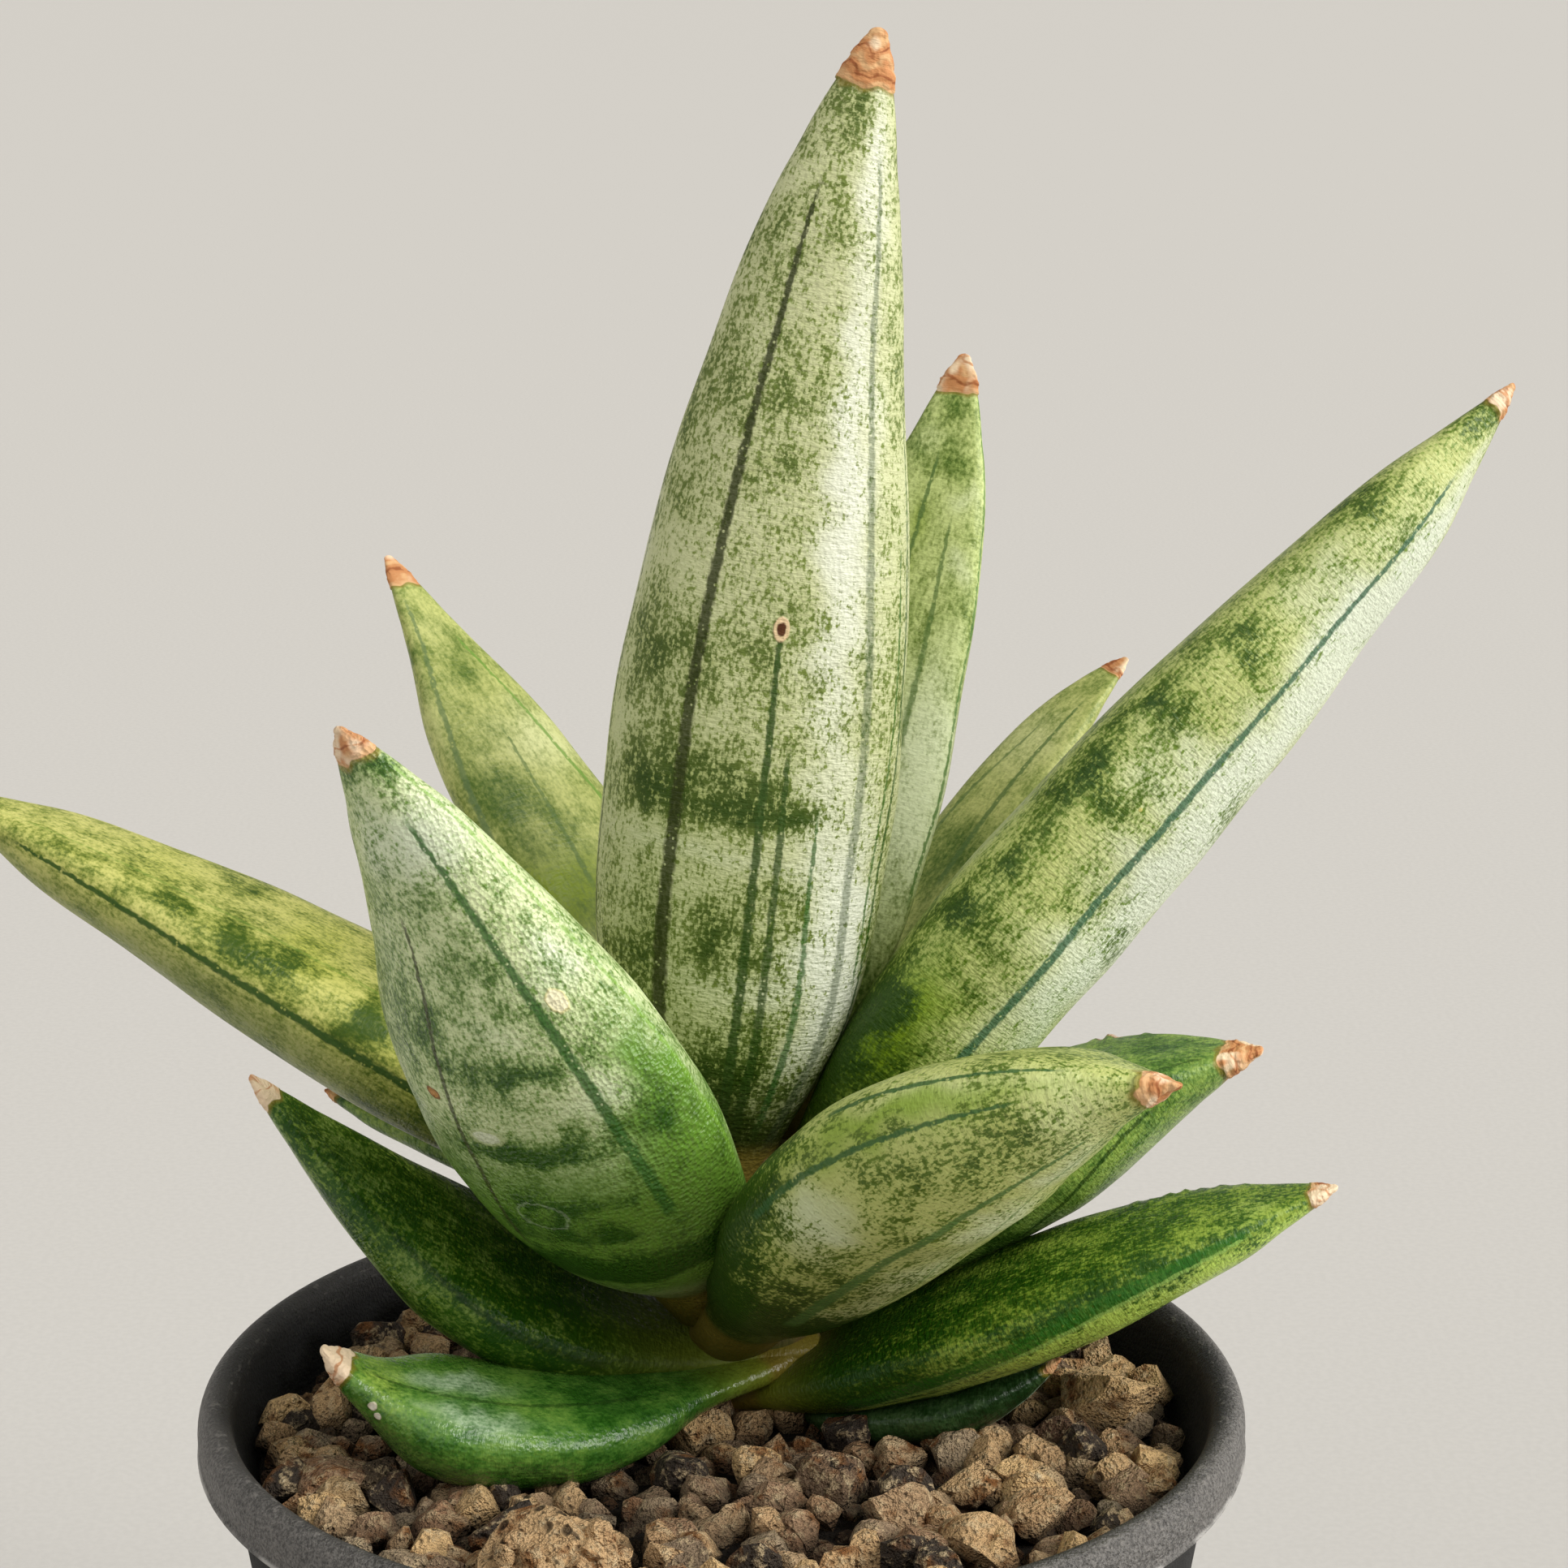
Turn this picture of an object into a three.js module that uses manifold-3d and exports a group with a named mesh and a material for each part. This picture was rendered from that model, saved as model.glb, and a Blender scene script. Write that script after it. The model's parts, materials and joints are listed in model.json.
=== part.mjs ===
// A potted hedgehog snake plant: fourteen thick, tapering leaves on a short stem,
// in a round plastic pot filled with coarse gravel.
// Millimetres, +Z up, origin at the centre of the pot's flat base, -Y towards the viewer.
import * as THREE from "three";
import { mergeVertices } from "three/addons/utils/BufferGeometryUtils.js";
import Module from "manifold-3d";

const wasm = await Module();
wasm.setup();

// Clearance kept between neighbouring pieces, and how closely meshes are simplified.
const GAP = 0.3;
const MERGE = 1e-4;
const SMALLEST_STEP = 0.02;

// Pot: a thick rolled rim on a plain tapered body.
const POT_HEIGHT = 88;
const RIM_RADIUS = 50;
const RIM_HEIGHT = 9;
const RIM_WIDTH = 3.6;
const RIM_CROWN = 2.6;
const RIM_CROWN_STEPS = 6;
const RIM_EASE = 1.2;
const BODY_TOP_RADIUS = 46.4;
const BASE_RADIUS = 34;
const WALL = 1.8;
const FLOOR = 2.4;
const DRAIN_HOLES = 6;
const DRAIN_RADIUS = 3;
const DRAIN_RING_RADIUS = 20;
const POT_SIDES = 56;
const HOLE_SIDES = 12;

// Gravel: a fill with a layer of coarse grains half sunk in its top.
const FILL_TOP = 80.6;
const GRAIN_COUNT = 168;
const GRAIN_SMALL = 4.6;
const GRAIN_LARGE = 8;
const GRAIN_SINK = 0.44;
const GRAIN_SEED = 20260;
const GRAIN_LIFT = 1.6;
const GRAIN_STRAY = 0.12;
const GRAIN_REACH = 0.64;
const STONE_LIFT = 0.28;

// Stem: the short crown that the leaves grow from, leaning back above the gravel.
const STEM_X = 3.5;
const STEM_Y = 8;
const STEM_FOOT = 58;
const STEM_TOP = 107;
const STEM_RADIUS = 5.4;
const STEM_CROWN_RADIUS = 6.6;
const STEM_CROWN_HEIGHT = 94;
const STEM_TOP_RADIUS = 4;
const STEM_LEAN_Y = 5;
const STEM_SIDES = 14;

// Leaf sections: sides round a leaf, the share of thickness on its round back,
// the depth of the channel down its face, and how far its sheath runs on below the foot.
const LEAF_SIDES = 12;
const LEAF_STEPS = 16;
const BACK_SHARE = 0.6;
const CHANNEL = 0.3;
const SHEATH = 4.5;
const SHEATH_TAPER = 0.8;
const SHEATH_CAP = 0.6;
const TIP_CAP = 0.8;

// The larger stones: place of the centre on the gravel and size across.
const LARGE_STONES = [
  { x: 37, y: 3.2, size: 11 },
  { x: -14, y: -33, size: 15 },
  { x: 24, y: -26, size: 8 },
  { x: -18.5, y: -24, size: 7.5 },
  { x: -36.5, y: -14, size: 8 },
  { x: 16, y: -19.5, size: 7.5 },
  { x: 10.5, y: -13.5, size: 7.5 },
  { x: 28.5, y: -18.5, size: 7.5 },
];

// Leaves, the ones that lie in front first: where two meet, the later one gives way.
// spine: foot, two points that bend it, and tip.  widths: at even steps from foot to tip.
// face: the side that the channelled face looks to.  fat: thickness as a share of width.
const LEAVES = [
  {
    name: "leaf_front_left",
    spine: [[-3.5, 3, 98], [-13.5, -8, 116], [-19, -17, 138.5], [-31.5, -25, 157.5]],
    widths: [11, 25, 31, 31.5, 28, 20, 12.5, 2.5],
    face: [0.6, 0.8, 0.8],
    fat: 0.6,
    colour: 0x8fae6e,
  },
  {
    name: "leaf_front_right",
    spine: [[2.5, 3, 93.5], [15, -12, 111.5], [17.5, -24, 127.5], [38.5, -35, 129.5]],
    widths: [11, 20, 26, 28, 28.5, 25, 17, 2.5],
    face: [-0.4, 0.6, 1],
    fat: 0.6,
    colour: 0x94a65c,
  },
  {
    name: "leaf_centre_tall",
    spine: [[-1.5, 11, 106], [3, 11, 143], [5, 12, 179], [14.5, 14, 213.5]],
    widths: [12, 24, 27.5, 27.5, 24, 18.5, 12, 2.5],
    face: [0.1, 1, 0.1],
    fat: 0.55,
    colour: 0x9db083,
  },
  {
    name: "leaf_right_large",
    spine: [[7.5, 14, 103], [27, 17, 133], [52, 20, 157], [75.5, 23, 180]],
    widths: [12, 25, 29.5, 29, 26.5, 21.5, 15, 2],
    face: [-0.7, 0.3, 0.7],
    fat: 0.65,
    colour: 0x8fa66c,
  },
  {
    name: "leaf_gravel_left",
    spine: [[4, 4, 88], [-11.5, -8, 86], [-26, -12, 86.5], [-36, -14, 96.5]],
    widths: [6, 6.5, 12.5, 16.5, 17.5, 16, 8.5, 2.5],
    face: [0, -0.1, 1],
    fat: 0.6,
    colour: 0x2f5e22,
  },
  {
    name: "leaf_low_right",
    spine: [[3.5, 6, 84.5], [20.5, 0, 92.5], [37.5, -3, 102.5], [57, -5, 109]],
    widths: [8, 15, 19, 21, 20, 17, 11.5, 2],
    face: [-0.2, 0, 1],
    fat: 0.5,
    colour: 0x33551c,
  },
  {
    name: "leaf_low_left",
    spine: [[4.5, 6, 89], [-15.5, 4, 88.5], [-29.5, 2, 102], [-44, 0, 118]],
    widths: [7, 10, 16, 20, 19, 14, 8, 1.5],
    face: [0.3, -0.2, 1],
    fat: 0.55,
    colour: 0x34561f,
  },
  {
    name: "leaf_left_long",
    spine: [[-2, 12, 102], [-27.5, 17, 115.5], [-52.5, 20, 130.5], [-77, 23, 140]],
    widths: [10, 18, 22, 22.5, 20, 16, 11, 2],
    face: [0.4, -0.1, 1],
    fat: 0.65,
    colour: 0x9fab55,
  },
  {
    name: "leaf_middle_right",
    spine: [[8, 12, 91], [21, 13, 104.5], [34.5, 11, 114.5], [51, 7, 118.5]],
    widths: [9, 17, 23.5, 27, 27, 22, 13, 2],
    face: [-0.4, 0.1, 1],
    fat: 0.55,
    colour: 0x54773a,
  },
  {
    name: "leaf_back_right",
    spine: [[7, 16, 110], [11.5, 23, 134], [19, 32, 157.5], [24, 40, 180.5]],
    widths: [9, 12, 15, 16, 15, 13, 9, 2],
    face: [-0.3, -1, 0.3],
    fat: 0.5,
    colour: 0xa9bf80,
  },
  {
    name: "leaf_back_left",
    spine: [[-0.5, 17, 108], [-12, 25, 126.5], [-23.5, 35, 142.5], [-35, 46, 159]],
    widths: [9, 15, 18, 18.5, 17, 13.5, 7, 1.5],
    face: [0.6, -0.6, 0.5],
    fat: 0.5,
    colour: 0xa5ab6a,
  },
  {
    name: "leaf_right_small",
    spine: [[7, 18, 105], [19, 34, 122], [28.5, 45, 137.5], [42, 52, 147]],
    widths: [8, 9.5, 11, 12, 11.5, 9.5, 6.5, 1.5],
    face: [-0.7, -0.6, 0.5],
    fat: 0.5,
    colour: 0x97a450,
  },
  {
    name: "leaf_shaded_right",
    spine: [[8, 6, 83], [16.5, 2, 84], [24.5, 0, 86], [32, -1, 90]],
    widths: [6, 11, 13, 13.5, 13.5, 11, 7, 1.5],
    face: [-0.1, 0, 1],
    fat: 0.5,
    colour: 0x1c3a15,
  },
  {
    name: "leaf_hidden_left",
    spine: [[-3.5, 16, 97], [-16, 20, 100.5], [-29, 25, 103.5], [-41, 30, 106.5]],
    widths: [6, 9, 10, 10, 9, 7.5, 5.5, 1.5],
    face: [0.3, 0, 1],
    fat: 0.5,
    colour: 0x47602a,
  },
];

// Repeatable draws between 0 and 1.
function drawsFrom(seed) {
  let state = seed;
  return () => {
    state = (state * 1664525 + 1013904223) % 4294967296;
    return state / 4294967296;
  };
}

// A closed geometry as a solid that can be joined and cut.
function solidOf(geometry) {
  const bare = geometry.clone();
  bare.deleteAttribute("normal");
  bare.deleteAttribute("uv");
  const merged = mergeVertices(bare, MERGE);
  const mesh = new wasm.Mesh({
    numProp: 3,
    vertProperties: new Float32Array(merged.attributes.position.array),
    triVerts: new Uint32Array(merged.index.array),
  });
  return new wasm.Manifold(mesh);
}

// The main body of a solid as a geometry, with its smallest edges gathered in.
function geometryOf(solid) {
  const mesh = largestBody(solid.simplify(SMALLEST_STEP)).getMesh();
  const geometry = new THREE.BufferGeometry();
  geometry.setAttribute("position", new THREE.BufferAttribute(mesh.vertProperties, 3));
  geometry.setIndex(new THREE.BufferAttribute(mesh.triVerts, 1));
  return geometry;
}

function largestBody(solid) {
  const bodies = solid.decompose();
  bodies.sort((a, b) => b.volume() - a.volume());
  return bodies[0];
}

// A profile of [radius, height] pairs turned round the Z axis.
function turned(profile, sides) {
  const points = profile.map(([radius, height]) => new THREE.Vector2(radius, height));
  return new THREE.LatheGeometry(points, sides).rotateX(Math.PI / 2);
}

// An upright cylinder between two heights.
function post(x, y, radius, low, high, sides) {
  const geometry = new THREE.CylinderGeometry(radius, radius, high - low, sides);
  return geometry.rotateX(Math.PI / 2).translate(x, y, (low + high) / 2);
}

// Inner radius of the pot at a height below the rim.
function innerRadius(height) {
  const share = height / (POT_HEIGHT - RIM_HEIGHT);
  const outer = BASE_RADIUS + (BODY_TOP_RADIUS - BASE_RADIUS) * Math.min(share, 1);
  return Math.min(outer - WALL, RIM_RADIUS - RIM_WIDTH - WALL / 2);
}

function potProfile() {
  const skirtLow = POT_HEIGHT - RIM_HEIGHT;
  const rimInner = RIM_RADIUS - RIM_WIDTH;
  const crownMiddle = (RIM_RADIUS + rimInner) / 2;
  const profile = [
    [0, 0],
    [BASE_RADIUS - 1, 0],
    [BASE_RADIUS, 1],
    [BODY_TOP_RADIUS, skirtLow],
    [RIM_RADIUS - RIM_EASE, skirtLow + RIM_EASE / 2],
    [RIM_RADIUS - RIM_EASE / 6, skirtLow + RIM_EASE * 1.6],
    [RIM_RADIUS, POT_HEIGHT - RIM_CROWN - RIM_EASE / 3],
  ];
  for (let step = 0; step <= RIM_CROWN_STEPS; step += 1) {
    const angle = (Math.PI * step) / RIM_CROWN_STEPS;
    profile.push([
      crownMiddle + (RIM_WIDTH / 2) * Math.cos(angle) * 0.95,
      POT_HEIGHT - RIM_CROWN + RIM_CROWN * Math.sin(angle),
    ]);
  }
  profile.push([innerRadius(skirtLow), skirtLow]);
  profile.push([innerRadius(FLOOR), FLOOR]);
  profile.push([0, FLOOR]);
  return profile;
}

function potSolid() {
  let pot = solidOf(turned(potProfile(), POT_SIDES));
  for (let hole = 0; hole < DRAIN_HOLES; hole += 1) {
    const angle = (2 * Math.PI * hole) / DRAIN_HOLES;
    const x = DRAIN_RING_RADIUS * Math.cos(angle);
    const y = DRAIN_RING_RADIUS * Math.sin(angle);
    pot = pot.subtract(solidOf(post(x, y, DRAIN_RADIUS, -1, FLOOR + 1, HOLE_SIDES)));
  }
  return pot;
}

// One angular grain: a stretched, turned icosahedron with uneven corners.
function grain(x, y, z, size, draw) {
  const geometry = new THREE.IcosahedronGeometry(size / 2, 0);
  const merged = mergeVertices(geometry.deleteAttribute("normal").deleteAttribute("uv"));
  const corners = merged.attributes.position;
  for (let corner = 0; corner < corners.count; corner += 1) {
    const reach = 0.86 + 0.28 * draw();
    corners.setXYZ(
      corner,
      corners.getX(corner) * reach,
      corners.getY(corner) * reach,
      corners.getZ(corner) * reach,
    );
  }
  merged.scale(1.08, 0.9 + 0.16 * draw(), 0.72 + 0.2 * draw());
  merged.rotateX(0.5 * draw());
  merged.rotateZ(2 * Math.PI * draw());
  return merged.translate(x, y, z);
}

// Grains laid on a spiral that spaces them evenly, each moved a little.
function grains() {
  const draw = drawsFrom(GRAIN_SEED);
  const turn = Math.PI * (3 - Math.sqrt(5));
  const reach = innerRadius(POT_HEIGHT - RIM_HEIGHT);
  const solids = LARGE_STONES.map(({ x, y, size }) => {
    return solidOf(grain(x, y, FILL_TOP + size * STONE_LIFT, size, draw));
  });
  for (let index = 0; index < GRAIN_COUNT; index += 1) {
    const size = GRAIN_SMALL + (GRAIN_LARGE - GRAIN_SMALL) * draw() * draw();
    const limit = reach - size * GRAIN_REACH;
    const radius = Math.min(reach * Math.sqrt((index + 0.5) / GRAIN_COUNT), limit);
    const angle = index * turn + GRAIN_STRAY * (draw() - 0.5);
    const x = radius * Math.cos(angle);
    const y = radius * Math.sin(angle);
    const z = FILL_TOP + size * (0.5 - GRAIN_SINK) + GRAIN_LIFT * draw();
    const solid = solidOf(grain(x, y, z, size, draw));
    const crowded = LARGE_STONES.some((stone) => {
      return Math.hypot(stone.x - x, stone.y - y) < stone.size * 0.5;
    });
    const inStem = Math.hypot(STEM_X - x, STEM_Y - y) < STEM_RADIUS + size / 2;
    if (!crowded && !inStem) {
      solids.push(solid);
    }
  }
  return solids;
}

function gravelSolid() {
  const skirtLow = POT_HEIGHT - RIM_HEIGHT;
  const profile = [
    [0, FLOOR + GAP],
    [innerRadius(FLOOR) - GAP, FLOOR + GAP],
    [innerRadius(skirtLow) - GAP, skirtLow],
    [innerRadius(skirtLow) - GAP, FILL_TOP],
    [0, FILL_TOP + 1],
  ];
  const fill = solidOf(turned(profile, POT_SIDES));
  const bed = wasm.Manifold.union([fill, ...grains()]);
  const hole = post(STEM_X, STEM_Y, STEM_RADIUS + GAP, STEM_FOOT - GAP, STEM_TOP, STEM_SIDES);
  return bed.subtract(solidOf(hole));
}

// The stem, and with grow above 0 the space that leaves keep clear of it.
function stemSolid(grow) {
  const geometry = turned(
    [
      [0, STEM_FOOT - grow],
      [STEM_RADIUS + grow, STEM_FOOT - grow],
      [STEM_RADIUS + grow, FILL_TOP + 2],
      [STEM_CROWN_RADIUS + grow, STEM_CROWN_HEIGHT],
      [STEM_TOP_RADIUS + grow, STEM_TOP + grow],
      [0, STEM_TOP + grow],
    ],
    STEM_SIDES,
  );
  const places = geometry.attributes.position;
  for (let index = 0; index < places.count; index += 1) {
    const rise = Math.max(places.getZ(index) - FILL_TOP - 2, 0) / (STEM_TOP - FILL_TOP);
    places.setY(index, places.getY(index) + STEM_LEAN_Y * rise);
  }
  return solidOf(geometry.translate(STEM_X, STEM_Y, 0));
}

// Width at a share of the leaf's length: a smooth curve through the even steps.
function widthAt(widths, share) {
  const last = widths.length - 1;
  const place = Math.min(share * last, last - 1e-9);
  const step = Math.floor(place);
  const f = place - step;
  const before = widths[Math.max(step - 1, 0)];
  const low = widths[step];
  const high = widths[step + 1];
  const after = widths[Math.min(step + 2, last)];
  const slope = (high - before) * f;
  const curve = (2 * before - 5 * low + 4 * high - after) * f * f;
  const twist = (3 * low - before - 3 * high + after) * f * f * f;
  return 0.5 * (2 * low + slope + curve + twist);
}

// One ring of a leaf: round on its back, lightly channelled on its face.
function leafRing(centre, along, face, width, thickness) {
  const normal = face.clone().addScaledVector(along, -face.dot(along)).normalize();
  const side = new THREE.Vector3().crossVectors(along, normal);
  const ring = [];
  for (let corner = 0; corner < LEAF_SIDES; corner += 1) {
    const angle = (2 * Math.PI * corner) / LEAF_SIDES;
    const across = (Math.cos(angle) * width) / 2;
    const lift = Math.sin(angle);
    const faceDepth = (1 - BACK_SHARE) * lift * (1 - CHANNEL * lift * lift);
    const depth = (lift > 0 ? faceDepth : BACK_SHARE * lift) * thickness;
    ring.push(centre.clone().addScaledVector(side, across).addScaledVector(normal, depth));
  }
  return ring;
}

// A leaf as rings along its spine, closed at the sheath and at the dried tip.
function leafSolid({ spine, widths, face, fat }, grow) {
  const [foot, low, high, tip] = spine.map((point) => new THREE.Vector3(...point));
  const curve = new THREE.CubicBezierCurve3(foot, low, high, tip);
  const facing = new THREE.Vector3(...face).normalize();
  const rings = [];
  const start = curve.getTangent(0);
  const sheathEnd = foot.clone().addScaledVector(start, -SHEATH - grow);
  const sheathWidth = (widths[0] + 2 * grow) * SHEATH_TAPER;
  rings.push(leafRing(sheathEnd, start, facing, sheathWidth, sheathWidth * fat));
  for (let step = 0; step <= LEAF_STEPS; step += 1) {
    const share = step / LEAF_STEPS;
    const width = widthAt(widths, share);
    rings.push(
      leafRing(
        curve.getPoint(share),
        curve.getTangent(share),
        facing,
        width + 2 * grow,
        width * fat + 2 * grow,
      ),
    );
  }
  const end = curve.getTangent(1);
  const points = rings.flat();
  points.push(sheathEnd.clone().addScaledVector(start, -SHEATH_CAP));
  points.push(tip.clone().addScaledVector(end, TIP_CAP + grow));
  const faces = [];
  for (let ring = 0; ring < rings.length - 1; ring += 1) {
    for (let corner = 0; corner < LEAF_SIDES; corner += 1) {
      const next = (corner + 1) % LEAF_SIDES;
      const a = ring * LEAF_SIDES + corner;
      const b = ring * LEAF_SIDES + next;
      faces.push(a, b + LEAF_SIDES, b, a, a + LEAF_SIDES, b + LEAF_SIDES);
    }
  }
  const lastRing = (rings.length - 1) * LEAF_SIDES;
  for (let corner = 0; corner < LEAF_SIDES; corner += 1) {
    const next = (corner + 1) % LEAF_SIDES;
    faces.push(points.length - 2, corner, next);
    faces.push(points.length - 1, lastRing + next, lastRing + corner);
  }
  const geometry = new THREE.BufferGeometry().setFromPoints(points);
  geometry.setIndex(faces);
  return solidOf(geometry);
}

// Leaves in order, each cut clear of the stem and of the ones before it.
function leafBodies(spaces) {
  return LEAVES.map((leaf, index) => {
    const clear = wasm.Manifold.union([stemSolid(GAP), ...spaces.slice(0, index)]);
    return leafSolid(leaf, 0).subtract(clear);
  });
}

function piece(name, solid, colour, roughness) {
  const material = new THREE.MeshStandardMaterial({ color: colour, roughness, metalness: 0 });
  const mesh = new THREE.Mesh(geometryOf(solid), material);
  mesh.name = name;
  return mesh;
}

const leafSpaces = LEAVES.map((leaf) => leafSolid(leaf, GAP));
const gravel = gravelSolid().subtract(wasm.Manifold.union(leafSpaces));
const bodies = leafBodies(leafSpaces);

const plant = new THREE.Group();
plant.add(piece("pot", potSolid(), 0x343232, 0.6));
plant.add(piece("gravel_bed", gravel, 0x8a6d50, 0.95));
plant.add(piece("stem", stemSolid(0), 0x6b5a2a, 0.8));
LEAVES.forEach((leaf, index) => {
  plant.add(piece(leaf.name, bodies[index], leaf.colour, 0.45));
});

export default plant;
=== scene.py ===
"""The looks of a potted hedgehog snake plant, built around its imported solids.

Fourteen thick leaves on a short stem stand in a round plastic pot of coarse gravel.
Everything is in metres in the solids' own frame: Z up, the origin at the centre of the
pot's base, and the camera on the -Y side.
"""

import json
import logging
import math
from collections.abc import Iterator
from dataclasses import dataclass, replace
from enum import Enum
from types import SimpleNamespace as Ports

import bmesh
import bpy
import numpy as np
from mathutils import Matrix, Vector, noise

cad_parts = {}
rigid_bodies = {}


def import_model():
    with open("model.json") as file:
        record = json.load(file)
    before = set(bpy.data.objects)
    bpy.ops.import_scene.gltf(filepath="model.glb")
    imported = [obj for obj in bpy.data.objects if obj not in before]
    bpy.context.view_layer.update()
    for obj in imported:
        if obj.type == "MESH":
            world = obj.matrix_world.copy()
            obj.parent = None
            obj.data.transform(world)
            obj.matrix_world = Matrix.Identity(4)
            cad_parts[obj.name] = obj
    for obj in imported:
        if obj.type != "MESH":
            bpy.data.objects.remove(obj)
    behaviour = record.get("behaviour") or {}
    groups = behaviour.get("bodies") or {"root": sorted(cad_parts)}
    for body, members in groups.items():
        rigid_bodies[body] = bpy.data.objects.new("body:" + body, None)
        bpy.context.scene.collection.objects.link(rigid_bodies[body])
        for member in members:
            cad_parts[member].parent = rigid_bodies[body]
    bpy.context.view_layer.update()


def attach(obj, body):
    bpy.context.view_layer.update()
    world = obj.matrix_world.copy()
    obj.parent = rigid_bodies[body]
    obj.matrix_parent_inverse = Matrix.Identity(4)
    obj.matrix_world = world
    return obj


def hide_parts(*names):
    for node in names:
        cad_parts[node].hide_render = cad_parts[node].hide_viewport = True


LOG = logging.getLogger("snake_plant")
MM = 0.001
PER_MM = 1000.0
GOLDEN = math.pi * (3 - math.sqrt(5))

Colour = tuple[float, float, float, float]
Spot = tuple[float, float, float]
Row = tuple[float, ...]
Numbers = float | np.ndarray


def paint(code: str) -> Colour:
    """Turn a six-digit screen colour into linear values.

    Args:
        code: The colour as "#rrggbb".

    Returns:
        Linear red, green and blue, and an alpha of 1.
    """
    parts = [int(code[place : place + 2], 16) / 255 for place in (1, 3, 5)]
    red, green, blue = (
        c / 12.92 if c <= 0.04045 else ((c + 0.055) / 1.055) ** 2.4 for c in parts
    )
    return (red, green, blue, 1.0)


def wander(x: float, y: float, z: float) -> float:
    """Give a smooth, repeatable wander at a place, about -1 to 1."""
    return noise.noise(Vector((x, y, z)))


class Draws:
    """Repeatable draws between 0 and 1, in the order that the solids use them."""

    def __init__(self, seed: int) -> None:
        """Start the row of draws at a seed."""
        self.state = seed

    def next(self) -> float:
        """Return the next draw."""
        self.state = (self.state * 1664525 + 1013904223) % 4294967296
        return self.state / 4294967296

    def above(self, low: float, span: float) -> float:
        """Return a draw from a low end up to a span above it."""
        return low + span * self.next()


class Value:
    """A node's output, which takes part in sums as a number does."""

    def __init__(self, graph: "Graph", socket: bpy.types.NodeSocket) -> None:
        """Hold the output and the graph that it is in."""
        self.graph = graph
        self.socket = socket

    def __add__(self, other: object) -> "Value":
        """Add another to it."""
        return self.graph.math("ADD", self, other)

    def __sub__(self, other: object) -> "Value":
        """Take another from it."""
        return self.graph.math("SUBTRACT", self, other)

    def __rsub__(self, other: object) -> "Value":
        """Take it from a number."""
        return self.graph.math("SUBTRACT", other, self)

    def __mul__(self, other: object) -> "Value":
        """Multiply it by another."""
        return self.graph.math("MULTIPLY", self, other)

    def __truediv__(self, other: object) -> "Value":
        """Divide it by another."""
        return self.graph.math("DIVIDE", self, other)

    def __pow__(self, other: object) -> "Value":
        """Raise it to a power."""
        return self.graph.math("POWER", self, other)

    def __abs__(self) -> "Value":
        """Take off its sign."""
        return self.graph.math("ABSOLUTE", self)


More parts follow.
